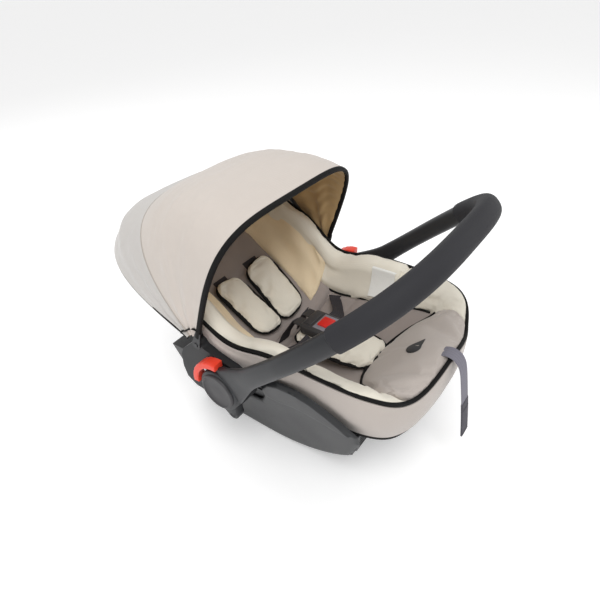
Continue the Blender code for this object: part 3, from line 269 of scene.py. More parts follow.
class Shape:
    """A mesh under construction, made of mapped patches that are welded together."""

    def __init__(self) -> None:
        """Start empty, with a map in metres and a mark for pinned points."""
        self.bm = bmesh.new()
        self.uv = self.bm.loops.layers.uv.new("weave")
        self.pin = self.bm.verts.layers.int.new("pinned")

    def patch(self, place: Place, across: int, along: int, size: tuple[float, float],
              slot: int = 0) -> list[bmesh.types.BMVert]:
        """Add a grid laid onto a surface.

        Args:
            place: Maps u and v, each 0 to 1, to a point.
            across: Squares along u.
            along: Squares along v.
            size: Real width and length, for the cloth map.
            slot: Material slot of its faces.

        Returns:
            The new vertices.
        """
        made = bmesh.ops.create_grid(self.bm, x_segments=across, y_segments=along, size=0.5)
        verts = made["verts"]
        for face in {f for v in verts for f in v.link_faces}:
            face.material_index = slot
            face.smooth = True
            for loop in face.loops:
                spot = loop.vert.co
                loop[self.uv].uv = ((spot.x + 0.5) * size[0], (spot.y + 0.5) * size[1])
        for vert in verts:
            u, v = vert.co.x + 0.5, vert.co.y + 0.5
            if min(u, v, 1 - u, 1 - v) < 1e-4:
                vert[self.pin] = 1
            vert.co = place(u, v)
        return verts

    def pillow(self, place: Place, across: int, along: int, size: tuple[float, float],
               rise: Profile, depth: float, toward: Vector, edge: tuple[float, float],
               slot: int = 0, straight: Vector | None = None) -> "Shape":
        """Add a stuffed pad that closes along its four edges.

        Args:
            place: Surface of its seams.
            across: Squares along u.
            along: Squares along v.
            size: Real width and length.
            rise: Height of its face above the seams, before its edges are rounded.
            depth: Depth of its back under the seams.
            toward: Point on the side that its face looks to.
            edge: Share of the width and of the length that each rounded edge takes.
            slot: Material slot.
            straight: Direction of the stuffing where it is the same all over a pad that
                narrows to nothing at its ends.

        Returns:
            This shape.
        """
        def part(u: float, v: float, back: bool) -> Vector:
            """Point of one face of the pillow."""
            u, v = dense_ends(u), dense_ends(v)
            if straight is None:
                normal = facing_normal(place, u, v, toward)
            else:
                room = (place(u, 1.0) - place(u, 0.0)).length
                normal = straight.normalized() * min(1.0, room / 0.06)
            share = rounding(min(u, 1 - u), edge[0]) * rounding(min(v, 1 - v), edge[1])
            height = -depth if back else rise(u, v)
            return place(u, v) + normal * height * share

        self.patch(lambda u, v: part(u, v, False), across, along, size, slot)
        for vert in self.patch(lambda u, v: part(u, v, True), across, along, size, slot):
            vert[self.pin] = 1
        return self

    def sweep(self, path: Sequence[Vector], section: Section, facing: Vector | Sequence[Vector],
              sides: int = 12, closed: bool = False, slot: int = 0) -> "Shape":
        """Add a bar that carries a section along a path.

        Args:
            path: Points of its centre line.
            section: Offset along facing and across it, from u around and v along.
            facing: Direction of the section's first axis, one for all or one for each point.
            sides: Flats around the section.
            closed: Whether the path returns to its start.
            slot: Material slot.

        Returns:
            This shape.
        """
        points = [Vector(p) for p in path]
        count = len(points)
        frames = []
        for index, point in enumerate(points):
            ahead = points[(index + 1) % count] if closed else points[min(index + 1, count - 1)]
            behind = points[index - 1] if closed else points[max(index - 1, 0)]
            along = (ahead - behind).normalized()
            side = Vector(facing if isinstance(facing, Vector) else facing[index])
            side = (side - along * side.dot(along)).normalized()
            frames.append((point, side, along.cross(side)))
        if closed:
            frames.append(frames[0])
        steps = len(frames) - 1
        length = sum((b[0] - a[0]).length for a, b in zip(frames, frames[1:]))

        def place(u: float, v: float) -> Vector:
            """Point of this patch."""
            point, side, other = frames[round(v * steps)]
            a, b = section(u % 1.0, v)
            return point + side * a + other * b

        made = self.patch(place, sides, steps, (0.06, length), slot)
        bmesh.ops.remove_doubles(self.bm, verts=made, dist=1e-6)
        if not closed:
            rims = [e for e in self.bm.edges if e.is_boundary]
            filled = bmesh.ops.holes_fill(self.bm, edges=rims, sides=0)
            for face in filled["faces"]:
                face.material_index = slot
        return self

    def plate(self, outline: Sequence[tuple[float, float]], low: float, high: float,
              bevel: float = 0.0, segments: int = 3, slot: int = 0) -> "Shape":
        """Add a prism of a (y, z) outline between two X values, its edges rounded."""
        face = self.bm.faces.new([self.bm.verts.new((low, y, z)) for y, z in outline])
        grown = bmesh.ops.extrude_face_region(self.bm, geom=[face], use_keep_orig=True)
        moved = [v for v in grown["geom"] if isinstance(v, bmesh.types.BMVert)]
        bmesh.ops.translate(self.bm, verts=moved, vec=(high - low, 0, 0))
        ends = [face] + [f for f in grown["geom"] if isinstance(f, bmesh.types.BMFace)]
        for made in {f for v in face.verts for f in v.link_faces} | set(ends):
            made.material_index = slot
        if bevel:
            rims = {e for f in ends for e in f.edges}
            bmesh.ops.bevel(self.bm, geom=list(rims), offset=bevel, segments=segments,
                            profile=0.5, affect="EDGES", material=-1, clamp_overlap=True)
        return self

    def turned(self, profile: Sequence[tuple[float, float]], centre: Vector, steps: int = 72,
               slot: int = 0) -> "Shape":
        """Add a body turned about an X axis from (radius, x) points."""
        verts = [self.bm.verts.new((x, centre.y, centre.z + radius)) for radius, x in profile]
        edges = [self.bm.edges.new(pair) for pair in zip(verts, verts[1:])]
        bmesh.ops.spin(self.bm, geom=verts + edges, cent=(0, centre.y, centre.z), axis=(1, 0, 0),
                       angle=2 * pi, steps=steps, use_merge=True)
        bmesh.ops.remove_doubles(self.bm, verts=self.bm.verts, dist=1e-6)
        for face in self.bm.faces:
            face.smooth = True
            face.material_index = slot
        return self

    def box(self, size: Sequence[float], place: Vector, bevel: float, segments: int = 4,
            pitch: float = 0.0, slot: int = 0) -> "Shape":
        """Add a rounded block turned about X by pitch."""
        made = bmesh.ops.create_cube(self.bm, size=1.0)["verts"]
        bmesh.ops.scale(self.bm, vec=size, verts=made)
        bmesh.ops.rotate(self.bm, verts=made, matrix=Matrix.Rotation(pitch, 3, "X"))
        bmesh.ops.translate(self.bm, verts=made, vec=place)
        edges = list({e for v in made for e in v.link_edges})
        for face in {f for v in made for f in v.link_faces}:
            face.material_index = slot
        bmesh.ops.bevel(self.bm, geom=edges, offset=bevel, segments=segments, profile=0.5,
                        affect="EDGES", material=-1)
        return self

    def piece(self, name: str, body: str | None, looks: Sequence["Finish"], slot: str,
              stands_for: Sequence[str] = (), thickness: float = 0.0,
              sharp: float = 50.0) -> bpy.types.Object:
        """Weld the patches and make the piece.

        Args:
            name: Name of the piece.
            body: Body that it rides on, or None to leave it unattached.
            looks: Finishes of its material slots.
            slot: Material slot of the record; not used.
            stands_for: CAD nodes that it replaces.
            thickness: Thickness of an open sheet, laid to its inside.
            sharp: Angle in degrees above which an edge is sharp.

        Returns:
            The new object.
        """
        bm = self.bm
        bmesh.ops.remove_doubles(bm, verts=bm.verts, dist=1e-6)
        bmesh.ops.dissolve_degenerate(bm, edges=bm.edges, dist=1e-7)
        bmesh.ops.recalc_face_normals(bm, faces=bm.faces)
        if thickness:
            bmesh.ops.solidify(bm, geom=bm.faces[:], thickness=thickness)
            bmesh.ops.recalc_face_normals(bm, faces=bm.faces)
        mesh = bpy.data.meshes.new(name)
        bm.to_mesh(mesh)
        bm.free()
        mesh.shade_smooth()
        mesh.set_sharp_from_angle(angle=radians(sharp))
        for look in looks:
            mesh.materials.append(look.material())
        thing = bpy.data.objects.new(name, mesh)
        bpy.context.scene.collection.objects.link(thing)
        if body:
            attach(thing, body)
        if stands_for:
            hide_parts(*stands_for)
        LOG.info("%s: %d faces", name, len(mesh.polygons))
        return thing


def oval(wide: float, thick: float, power: float = 2.0) -> Section:
    """Superellipse section of a full width and thickness."""
    def section(u: float, v: float) -> tuple[float, float]:
        """Offset of the profile from its centre line."""
        angle = 2 * pi * u
        a = abs(cos(angle)) ** (2 / power) * (1 if cos(angle) >= 0 else -1)
        b = abs(sin(angle)) ** (2 / power) * (1 if sin(angle) >= 0 else -1)
        return a * wide / 2, b * thick / 2

    return section


def ripple(point: Vector, size: float, seed: float = 0.0) -> float:
    """Smooth irregular value between -1 and 1, changing over a length."""
    return noise.noise(point / size + Vector((seed, seed * 1.7, -seed)))


def signed_distance(outline: Sequence[tuple[float, float]], y: float, z: float) -> float:
    """Distance from a closed outline, positive inside it."""
    nearest = 1e9
    inside = False
    for (ay, az), (by, bz) in zip(outline, [*outline[1:], outline[0]]):
        run, rise = by - ay, bz - az
        share = max(0.0, min(1.0, ((y - ay) * run + (z - az) * rise) / (run * run + rise * rise)))
        nearest = min(nearest, (y - ay - run * share) ** 2 + (z - az - rise * share) ** 2)
        if (az > z) != (bz > z) and y < ay + (z - az) / rise * run:
            inside = not inside
    return sqrt(nearest) if inside else -sqrt(nearest)


# ---------------------------------------------------------------- shaders

def linear(red: int, green: int, blue: int) -> tuple[float, float, float]:
    """Scene-linear colour of 8-bit display values."""
    return tuple(c / 255 / 12.92 if c < 11 else ((c / 255 + 0.055) / 1.055) ** 2.4
                 for c in (red, green, blue))


class Tree:
    """Node tree of one material, with its shader."""

    def __init__(self, name: str, gloss: float = 0.5) -> None:
        """Make an empty material."""
        self.gloss = gloss
        self.material = bpy.data.materials.new(name)
        self.material.use_nodes = True
        self.nodes = self.material.node_tree.nodes
        self.links = self.material.node_tree.links
        self.shader = self.nodes["Principled BSDF"]

    def node(self, kind: str, settings: dict[str, object] | None = None,
             **inputs: object) -> bpy.types.Node:
        """Add a node, its settings first and then its inputs by name."""
        made = self.nodes.new(kind)
        for name, value in (settings or {}).items():
            setattr(made, name, value)
        for name, value in inputs.items():
            self.set(made.inputs[name.replace("_", " ")], value)
        return made

    def set(self, socket: bpy.types.NodeSocket, value: object) -> None:
        """Link or set one input."""
        if isinstance(value, Value):
            self.links.new(value.socket, socket)
        elif isinstance(value, bpy.types.NodeSocket):
            self.links.new(value, socket)
        else:
            socket.default_value = value

    def place(self) -> bpy.types.NodeSocket:
        """Object coordinates."""
        return self.node("ShaderNodeTexCoord").outputs["Object"]

    def weave(self) -> bpy.types.NodeSocket:
        """Cloth map in metres."""
        return self.node("ShaderNodeUVMap", {"uv_map": "weave"}).outputs["UV"]

    def noise(self, vector: bpy.types.NodeSocket, scale: float, detail: float = 2.0) -> "Value":
        """Noise between 0 and 1."""
        made = self.node("ShaderNodeTexNoise", None, Vector=vector, Scale=scale, Detail=detail)
        return Value(self, made.outputs["Fac"])

    def wave(self, value: "Value", frequency: float) -> "Value":
        """Sine between 0 and 1 of a length in metres."""
        return (value * (2 * pi * frequency)).sine() * 0.5 + 0.5

    def mix(self, factor: "Value", one: Sequence[float],
            two: Sequence[float]) -> bpy.types.NodeSocket:
        """Blend two colours."""
        made = self.node("ShaderNodeMix", {"data_type": "RGBA"})
        self.set(made.inputs[0], factor)
        self.set(made.inputs[6], (*one, 1.0))
        self.set(made.inputs[7], (*two, 1.0))
        return made.outputs[2]

    def bump(self, height: "Value", strength: float, distance: float) -> None:
        """Link a bump to the shader, and calm its gloss."""
        self.set(self.shader.inputs["Specular IOR Level"], self.gloss)
        made = self.node("ShaderNodeBump", None, Strength=strength, Distance=distance,
                         Height=height)
        self.links.new(made.outputs["Normal"], self.shader.inputs["Normal"])


@dataclass(frozen=True)
class Value:
    """A number inside a node tree, with arithmetic."""

    tree: Tree
    socket: bpy.types.NodeSocket

    def _math(self, kind: str, one: object, two: object = 0.0) -> "Value":
        """Add a math node."""
        made = self.tree.node("ShaderNodeMath", {"operation": kind})
        self.tree.set(made.inputs[0], one)
        self.tree.set(made.inputs[1], two)
        return Value(self.tree, made.outputs[0])

    def __add__(self, other: object) -> "Value":
        """Sum."""
        return self._math("ADD", self, other)

    def __radd__(self, other: object) -> "Value":
        """Sum, reflected."""
        return self._math("ADD", other, self)

    def __sub__(self, other: object) -> "Value":
        """Difference."""
        return self._math("SUBTRACT", self, other)

    def __rsub__(self, other: object) -> "Value":
        """Difference, reflected."""
        return self._math("SUBTRACT", other, self)

    def __mul__(self, other: object) -> "Value":
        """Product."""
        return self._math("MULTIPLY", self, other)

    def __rmul__(self, other: object) -> "Value":
        """Product, reflected."""
        return self._math("MULTIPLY", other, self)

    def sine(self) -> "Value":
        """Sine of this number."""
        return self._math("SINE", self)


@dataclass(frozen=True)
class Finish:
    """Base of the finishes; each builds its material once."""

    name: str
    colour: tuple[float, float, float]

    def material(self) -> bpy.types.Material:
        """The material of this finish."""
        found = bpy.data.materials.get("look_" + self.name)
        if found:
            return found
        tree = Tree("look_" + self.name, 0.20 if isinstance(self, (Cloth, Ribbed)) else 0.40)
        self.build(tree)
        return tree.material

    def build(self, tree: Tree) -> None:
        """Fill the node tree."""
        raise NotImplementedError

    def shade(self, factor: float) -> tuple[float, float, float]:
        """The colour made darker or lighter."""
        return tuple(min(1.0, c * factor) for c in self.colour)


@dataclass(frozen=True)
class Plastic(Finish):
    """Moulded plastic with a fine spark-eroded grain and a few rubbed patches."""

    rough: float = 0.5
    grain: float = 0.10
    grain_scale: float = 1900.0

    def build(self, tree: Tree) -> None:
        """Fill the node tree."""
        place = tree.place()
        grain = tree.noise(place, self.grain_scale, 3.0)
        worn = tree.noise(place, 14.0, 4.0)
        colour = tree.mix(grain * 0.35 + worn * 0.65, self.shade(0.80), self.shade(1.22))
        tree.set(tree.shader.inputs["Base Color"], colour)
        tree.set(tree.shader.inputs["Roughness"], worn * 0.16 + grain * 0.06 + (self.rough - 0.11))
        tree.bump(grain, self.grain, 0.0006)


@dataclass(frozen=True)
class Rubbed(Finish):
    """Soft-touch sleeve with a dusty bloom."""

    rough: float = 0.72

    def build(self, tree: Tree) -> None:
        """Fill the node tree."""
        place = tree.place()
        fine = tree.noise(place, 2600.0, 2.0)
        dust = tree.noise(place, 46.0, 6.0)
        colour = tree.mix(dust, self.shade(0.78), self.shade(1.35))
        tree.set(tree.shader.inputs["Base Color"], colour)
        tree.set(tree.shader.inputs["Roughness"], dust * 0.2 + (self.rough - 0.1))
        tree.bump(fine, 0.22, 0.0008)


@dataclass(frozen=True)
class Cloth(Finish):
    """Woven cloth with soft creases."""

    rough: float = 0.75
    threads: float = 1400.0
    crease: float = 0.10
    sheen: float = 0.25

    def build(self, tree: Tree) -> None:
        """Fill the node tree."""
        place = tree.place()
        split = tree.node("ShaderNodeSeparateXYZ", None, Vector=tree.weave())
        warp = tree.wave(Value(tree, split.outputs["X"]), self.threads)
        weft = tree.wave(Value(tree, split.outputs["Y"]), self.threads)
        weave = warp * weft
        mottle = tree.noise(place, 60.0, 5.0)
        broad = tree.noise(place, 7.0, 2.0)
        colour = tree.mix(weave * 0.4 + mottle * 0.3 + broad * 0.3, self.shade(0.90),
                          self.shade(1.08))
        tree.set(tree.shader.inputs["Base Color"], colour)
        tree.set(tree.shader.inputs["Roughness"], mottle * 0.12 + (self.rough - 0.06))
        tree.set(tree.shader.inputs["Sheen Weight"], self.sheen)
        tree.set(tree.shader.inputs["Sheen Roughness"], 0.4)
        folds = tree.noise(place, 26.0, 3.0)
        tree.bump(weave * 0.12 + folds * 6.0 * self.crease + mottle * 0.3, 0.35, 0.0022)


@dataclass(frozen=True)
class Ribbed(Finish):
    """Webbing or binding with ribs across its length."""

    rough: float = 0.7
    ribs: float = 620.0
    edge: float = 0.6

    def build(self, tree: Tree) -> None:
        """Fill the node tree."""
        split = tree.node("ShaderNodeSeparateXYZ", None, Vector=tree.weave())
        rib = tree.wave(Value(tree, split.outputs["Y"]), self.ribs)
        cord = tree.wave(Value(tree, split.outputs["X"]), self.ribs * 1.3)
        fuzz = tree.noise(tree.place(), 900.0, 3.0)
        both = rib * 0.5 + cord * 0.25 + fuzz * 0.25
        tree.set(tree.shader.inputs["Base Color"], tree.mix(both, self.shade(self.edge),
                                                            self.shade(1.3)))
        tree.set(tree.shader.inputs["Roughness"], fuzz * 0.1 + (self.rough - 0.05))
        tree.bump(both, 0.5, 0.0005)


@dataclass(frozen=True)
class Metal(Finish):
    """Zinc-plated steel, lightly brushed."""

    rough: float = 0.28

    def build(self, tree: Tree) -> None:
        """Fill the node tree."""
        place = tree.place()
        brushed = tree.noise(place, 700.0, 4.0)
        tree.set(tree.shader.inputs["Base Color"], tree.mix(brushed, self.shade(0.85),
                                                            self.shade(1.1)))
        tree.set(tree.shader.inputs["Metallic"], 1.0)
        tree.set(tree.shader.inputs["Roughness"], brushed * 0.18 + (self.rough - 0.09))
        tree.bump(brushed, 0.08, 0.0003)


@dataclass(frozen=True)
class Foam(Finish):
    """Moulded bead foam."""

    def build(self, tree: Tree) -> None:
        """Fill the node tree."""
        cells = tree.node("ShaderNodeTexVoronoi", None, Vector=tree.place(), Scale=260.0)
        value = Value(tree, cells.outputs["Distance"])
        tree.set(tree.shader.inputs["Base Color"], tree.mix(value, self.shade(1.0),
                                                            self.shade(0.8)))
        tree.set(tree.shader.inputs["Roughness"], value * 0.1 + 0.85)
        tree.bump(value, 0.3, 0.001)


@dataclass(frozen=True)
class Floor(Finish):
    """Pale studio floor."""

    def build(self, tree: Tree) -> None:
        """Fill the node tree."""
        cloud = tree.noise(tree.place(), 1.5, 2.0)
        tree.set(tree.shader.inputs["Base Color"], tree.mix(cloud, self.shade(0.99),
                                                            self.shade(1.0)))
        tree.set(tree.shader.inputs["Roughness"], cloud * 0.1 + 0.6)
        tree.set(tree.shader.inputs["Emission Color"], (1.0, 1.0, 1.0, 1.0))
        tree.set(tree.shader.inputs["Emission Strength"], 0.26)


MOULDING = Plastic("moulding", linear(38, 39, 42), 0.42)
COVER_PLASTIC = Plastic("cover_plastic", linear(37, 38, 40), 0.42, 0.16, 1500.0)
SHELL_PLASTIC = Plastic("shell_plastic", linear(36, 37, 39), 0.55, 0.14)
CAP_PLASTIC = Plastic("cap_plastic", linear(58, 57, 59), 0.46)
BUCKLE_PLASTIC = Plastic("buckle_plastic", linear(58, 57, 58), 0.42)
BEZEL_PLASTIC = Plastic("bezel_plastic", linear(128, 126, 134), 0.40)
RELEASE_PLASTIC = Plastic("release_plastic", linear(232, 66, 44), 0.34, 0.04)
BUCKLE_RED = Plastic("buckle_red", linear(205, 42, 36), 0.34, 0.03)
GRIP_SLEEVE = Rubbed("grip_sleeve", linear(36, 36, 40))
RUBBER = Rubbed("rubber", linear(40, 40, 41))
CANOPY_CLOTH = Cloth("canopy_cloth", linear(206, 197, 189), 0.55, 1500.0, 0.22, 0.35)
REAR_CLOTH = Cloth("rear_cloth", linear(200, 196, 192), 0.55, 1500.0, 0.20, 0.35)
LINING_CLOTH = Cloth("lining_cloth", linear(196, 166, 122), 0.65, 1500.0, 0.30, 0.3)
CREAM_CLOTH = Cloth("cream_cloth", linear(232, 226, 212), 0.80, 1100.0, 0.16, 0.3)
BEIGE_CLOTH = Cloth("beige_cloth", linear(238, 219, 186), 0.78, 1100.0, 0.16, 0.3)
TAUPE_CLOTH = Cloth("taupe_cloth", linear(186, 177, 170), 0.72, 1200.0, 0.14, 0.3)
GREY_CLOTH = Cloth("grey_cloth", linear(158, 148, 143), 0.75, 1200.0, 0.14, 0.3)
PIPING = Ribbed("piping", linear(15, 14, 14), 0.70, 900.0)
WEBBING = Ribbed("webbing", linear(60, 57, 60), 0.70, 620.0)
STRAP = Ribbed("strap", linear(122, 120, 130), 0.65, 560.0, 0.7)
STRAP_TIP = Ribbed("strap_tip", linear(74, 72, 80), 0.65, 560.0, 0.7)
LABEL_CLOTH = Cloth("label_cloth", linear(240, 240, 236), 0.6, 1800.0, 0.05, 0.1)
DARK_THREAD = Ribbed("dark_thread", linear(60, 58, 60), 0.7, 900.0)
STEEL = Metal("steel", (0.62, 0.62, 0.64))
FOAM = Foam("foam", linear(226, 226, 222))
FLOOR = Floor("floor", (0.93, 0.93, 0.93))


# ---------------------------------------------------------------- stuffing

@dataclass
class Stuffing:
    """Cloth simulation that plumps the padded pieces, all in one run.

    Attributes:
        frames: Frames of the run.
        jobs: Pieces with the farthest any of their points may move.
    """

    frames: int = 16
    jobs: list[tuple[bpy.types.Object, float]] = field(default_factory=list)

    def add(self, thing: bpy.types.Object, cap: float, pressure: float = 4.0,
            slack: float = 0.03, fill: float = 0.6) -> bpy.types.Object:
        group = thing.vertex_groups.new(name="seams")
        marks = thing.data.attributes["pinned"]
        pinned = [k for k, mark in enumerate(marks.data) if mark.value]
        group.add(pinned, 1.0, "REPLACE")
        cloth = thing.modifiers.new("stuffing", "CLOTH")
        settings = cloth.settings
        settings.quality = 6
        settings.mass = 0.12
        settings.tension_stiffness = 14
        settings.compression_stiffness = 14
        settings.shear_stiffness = 6
        settings.bending_stiffness = 0.6
        settings.air_damping = 3
        settings.use_pressure = True
        settings.uniform_pressure_force = pressure
        settings.shrink_min = -slack
        settings.vertex_group_mass = "seams"
        settings.effector_weights.gravity = 0
        cloth.collision_settings.use_collision = False
        cloth.point_cache.frame_start = 1
        cloth.point_cache.frame_end = self.frames
        self.jobs.append((thing, cap))
        return thing

    def run(self) -> None:
        """Step through the frames and keep each piece's last shape."""
        if not self.jobs:
            return
        scene = bpy.context.scene
        for number in range(1, self.frames + 1):
            scene.frame_set(number)
        graph = bpy.context.evaluated_depsgraph_get()
        for thing, cap in self.jobs:
            shaped = thing.evaluated_get(graph)
            for vert, other in zip(thing.data.vertices, shaped.data.vertices):
                move = other.co - vert.co
                far = move.length
                if far > cap:
                    move *= cap / far
                vert.co += move
            thing.modifiers.clear()
            thing.vertex_groups.clear()
            LOG.info("%s stuffed", thing.name)
        scene.frame_set(1)


# ---------------------------------------------------------------- seat cover

@dataclass
class SeatCover:
    """Padded cover panels of the seat, with their pipings.

    Attributes:
        stuffing: Run that plumps the panels.
        edge_line: Samples of the foot flap's edge, filled before the flap is made.
    """

    stuffing: Stuffing
    edge_line: list[Vector] = field(default_factory=list)

    def surface(self, around: float, t: float) -> Vector:
        """Seams of the cover; t is 0 at the keel line, 0.8 at the seat rim, 1 at the shell rim."""
        fold = 0.80
        if t <= fold:
            return SEAT.point(around, t / fold)
        share = (t - fold) / (1 - fold)
        inner, outer = SEAT.rim(around), SHELL.rim(around)
        return inner.lerp(outer, share) + Vector((0, 0, 0.005 * sin(pi * share) + 0.002 * share))

    def panel(self, name: str, around: tuple[float, float], t: tuple[float, float],
              look: Finish, node: str, steps: tuple[int, int], rise: Profile,
              edge: tuple[float, float], record_slot: str, size: tuple[float, float],
              cap: float = 0.006) -> bpy.types.Object:
        """Make one stuffed panel between two places around and two heights."""
        def place(u: float, v: float) -> Vector:
            """Point of this patch."""
            spot_t = t[0] + (t[1] - t[0]) * v
            return self.surface(around[0] + (around[1] - around[0]) * u, spot_t)

        shape = Shape().pillow(place, *steps, size, rise, 0.008, ABOVE_SEAT, edge)
        made = shape.piece(name, Turn.CARRIER.value, [look], record_slot, [node])
        return self.stuffing.add(made, cap)

    def bolster_low(self, around: float) -> float:
        """Lower edge of a bolster, which climbs to the rim at its foot end."""
        return 0.96 - 0.46 * smooth_step((around - 0.150) / 0.135)

    def bolster(self, side: Side) -> None:
        """Cream side bolster with a cross seam and soft puckers."""
        def place(u: float, v: float) -> Vector:
            """Point of this patch."""
            around = 0.158 + (0.895 - 0.158) * u
            low = self.bolster_low(around)
            spot = around if side is Side.LEFT else 2 - around
            return self.surface(spot, low + (0.985 - low) * v)

        def rise(u: float, v: float) -> float:
            """Height of the filling above the seams."""
            seam = groove(u - 0.285, 0.005)
            pucker = 0.0016 * sin(46 * v) * groove(u - 0.30, 0.030)
            soft = 0.0014 * sin(23 * u + 4 * v) * sin(3 * v + 1)
            thin = smooth_step(u / 0.16)
            return (0.003 + 0.010 * thin) * (1 - 0.35 * v * v) + soft * thin + pucker - 0.005 * seam

        shape = Shape().pillow(place, 130, 34, (0.60, 0.12), rise, 0.008, ABOVE_SEAT,
                               (0.03, 0.24))
        made = shape.piece(f"bolster_{side.word}_pad", Turn.CARRIER.value, [CREAM_CLOTH],
                           "cloth_cream", [f"bolster_{side.word}"])
        self.stuffing.add(made, 0.006)

    def centre(self) -> None:
        """Grey seat and back panels with quilting seams."""
        def rise(u: float, v: float) -> float:
            """Height of the filling above the seams."""
            return 0.006 - 0.004 * groove((u * 8) % 1 - 0.5, 0.05)

        for name, around, node in (("seat_pad", (0.20, 0.57), "seat_panel"),
                                   ("back_pad", (0.57, 0.90), "back_panel")):
            shape = Shape()
            for sign in (1, -1):
                def place(u: float, v: float) -> Vector:
                    """Point of this patch."""
                    spot = around[0] + (around[1] - around[0]) * u
                    return self.surface(spot if sign > 0 else 2 - spot, 0.52 * v)

                shape.patch(lambda u, v: self.raised(place, u, v, sign), 60, 20, (0.20, 0.09))
            bmesh.ops.remove_doubles(shape.bm, verts=shape.bm.verts, dist=1e-5)
            made = shape.piece(name, Turn.CARRIER.value, [GREY_CLOTH], "cloth_grey", [node],
                               thickness=0.008)

    def raised(self, place: Place, u: float, v: float, sign: float) -> Vector:
        """Point of the centre panels, lifted between their quilting seams."""
        normal = facing_normal(place, u, max(v, 0.02), ABOVE_SEAT)
        if v < 0.02:
            normal.x = 0.0
            normal.normalize()
        ends = rounding(min(u, 1 - u), 0.05) * rounding(1 - v, 0.12)
        quilt = groove(((u * 4.0 + v * 0.8) % 1) - 0.5, 0.045)
        return place(u, v) + normal * (0.007 * ends - 0.0035 * quilt)

    def head(self) -> None:
        """Panel over the head end of the rim."""
        def rise(u: float, v: float) -> float:
            """Height of the filling above the seams."""
            return 0.008 - 0.003 * groove(v - 0.55, 0.05)

        self.panel("head_pad", (0.893, 1.107), (0.02, 1.0), TAUPE_CLOTH, "head_panel", (40, 50),
                   rise, (0.10, 0.06), "cloth_taupe", (0.24, 0.26))

    def foot_edge(self, u: float) -> Vector:
        """Edge of the foot flap towards the child, from the right rim to the left rim."""
        across = 2 * u - 1
        side = 1.0 if across >= 0 else -1.0
        turn = 0.62
        corner = self.surface(0.272, self.bolster_low(0.272))
        if abs(across) > turn:
            share = (abs(across) - turn) / (1 - turn)
            around = 0.272 + (0.152 - 0.272) * share
            spot = self.surface(around, self.bolster_low(around))
            spot.x *= side
            return spot
        share = abs(across) / turn
        x = corner.x * share
        y = -0.186 + (corner.y + 0.186) * share ** 2.4
        spot = SEAT.over(x, y)
        spot = spot.lerp(corner, smooth_step((share - 0.7) / 0.3))
        spot.x = side * x
        spot.z += 0.003 * (1 - share)
        return spot

    def foot_place(self, u: float, v: float) -> Vector:
        """Seams of the foot flap; v runs from its edge towards the child to the rim."""
        around = (u - 0.5) * 0.30
        outer = self.surface(around % 2.0, 0.975) + Vector((0, 0, 0.002))
        line = self.edge_line
        inner = line[round(u * (len(line) - 1))] if line else self.foot_edge(u)
        dome = 0.014 * sin(pi * min(v, 1.0)) ** 0.8 * rounding(min(u, 1 - u), 0.35)
        middle = inner.lerp(outer, v)
        return middle + Vector((0, 0, dome))

    def foot(self) -> None:
        """Domed foot flap with a piped edge."""
        self.edge_line.extend(self.foot_edge(k / 400) for k in range(401))

        def rise(u: float, v: float) -> float:
            """Height of the filling above the seams."""
            return 0.007 + 0.0012 * sin(9 * u + 5 * v)

        shape = Shape().pillow(self.foot_place, 96, 50, (0.34, 0.16), rise, 0.012, ABOVE_SEAT,
                               (0.04, 0.09), straight=Vector((0, 0.12, 1)))
        made = shape.piece("foot_flap", Turn.CARRIER.value, [TAUPE_CLOTH], "cloth_taupe",
                           ["foot_panel"])
        self.stuffing.add(made, 0.004)
        edge = [p + Vector((0, 0.002, 0.0062)) for p in self.edge_line[70:331:4]]
        self.cord("foot_piping", edge, 0.0026)

    def cord(self, name: str, path: Sequence[Vector], radius: float,
             closed: bool = False) -> bpy.types.Object:
        """Lay a piping along a path."""
        return Shape().sweep(path, oval(2 * radius, 2 * radius), Vector((0, 0.05, 1)), 8,
                             closed).piece(name, Turn.CARRIER.value, [PIPING], "piping")

    def pipings(self) -> None:
        """Pipings between bolsters and centre."""
        for side in Side:
            path = []
            for k in range(91):
                around = 0.285 + (0.895 - 0.285) * k / 90
                around = around if side is Side.LEFT else 2 - around
                spot = self.surface(around, 0.500)
                path.append(spot + (ABOVE_SEAT - spot).normalized() * 0.0065)
            self.cord(f"bolster_piping_{side.word}", path, 0.0023)

    def insert(self) -> None:
        """Newborn insert: a pad on the back and a folded wing at each shoulder."""
        def lifted(around: float, t: float, lift: float) -> Vector:
            """Point above the cover's seams."""
            spot = self.surface(around, t)
            return spot + (ABOVE_SEAT - spot).normalized() * lift

        def back(u: float, v: float) -> Vector:
            """Point of the pad on the back."""
            across = 2 * u - 1
            around = 0.62 + 0.27 * v
            around = around if across >= 0 else 2 - around
            return lifted(around, 0.30 * abs(across), 0.0095)

        shape = Shape().pillow(back, 40, 44, (0.13, 0.16),
                               lambda u, v: 0.005 - 0.002 * groove(v - 0.5, 0.04), 0.003,
                               ABOVE_SEAT, (0.12, 0.10))
        made = shape.piece("insert_back", Turn.CARRIER.value, [TAUPE_CLOTH], "cloth_taupe",
                           ["insert_pad"])
        self.stuffing.add(made, 0.004)
        for side in Side:
            def wing(u: float, v: float) -> Vector:
                """Point of one padded wing."""
                around = 0.60 + 0.30 * u
                around = around if side is Side.LEFT else 2 - around
                return lifted(around, 0.30 + 0.42 * v, 0.0145)

            def rise(u: float, v: float) -> float:
                """Height of the filling above the seams."""
                crest = smooth_step(1 - abs(v - 0.45 - 0.20 * sin(4.4 * u)) / 0.32)
                folds = 0.5 + 0.5 * sin(2 * pi * (u * 2.3 - v * 1.1) + 0.8)
                return 0.006 + 0.007 * crest + 0.005 * folds * (1 - 0.5 * crest)

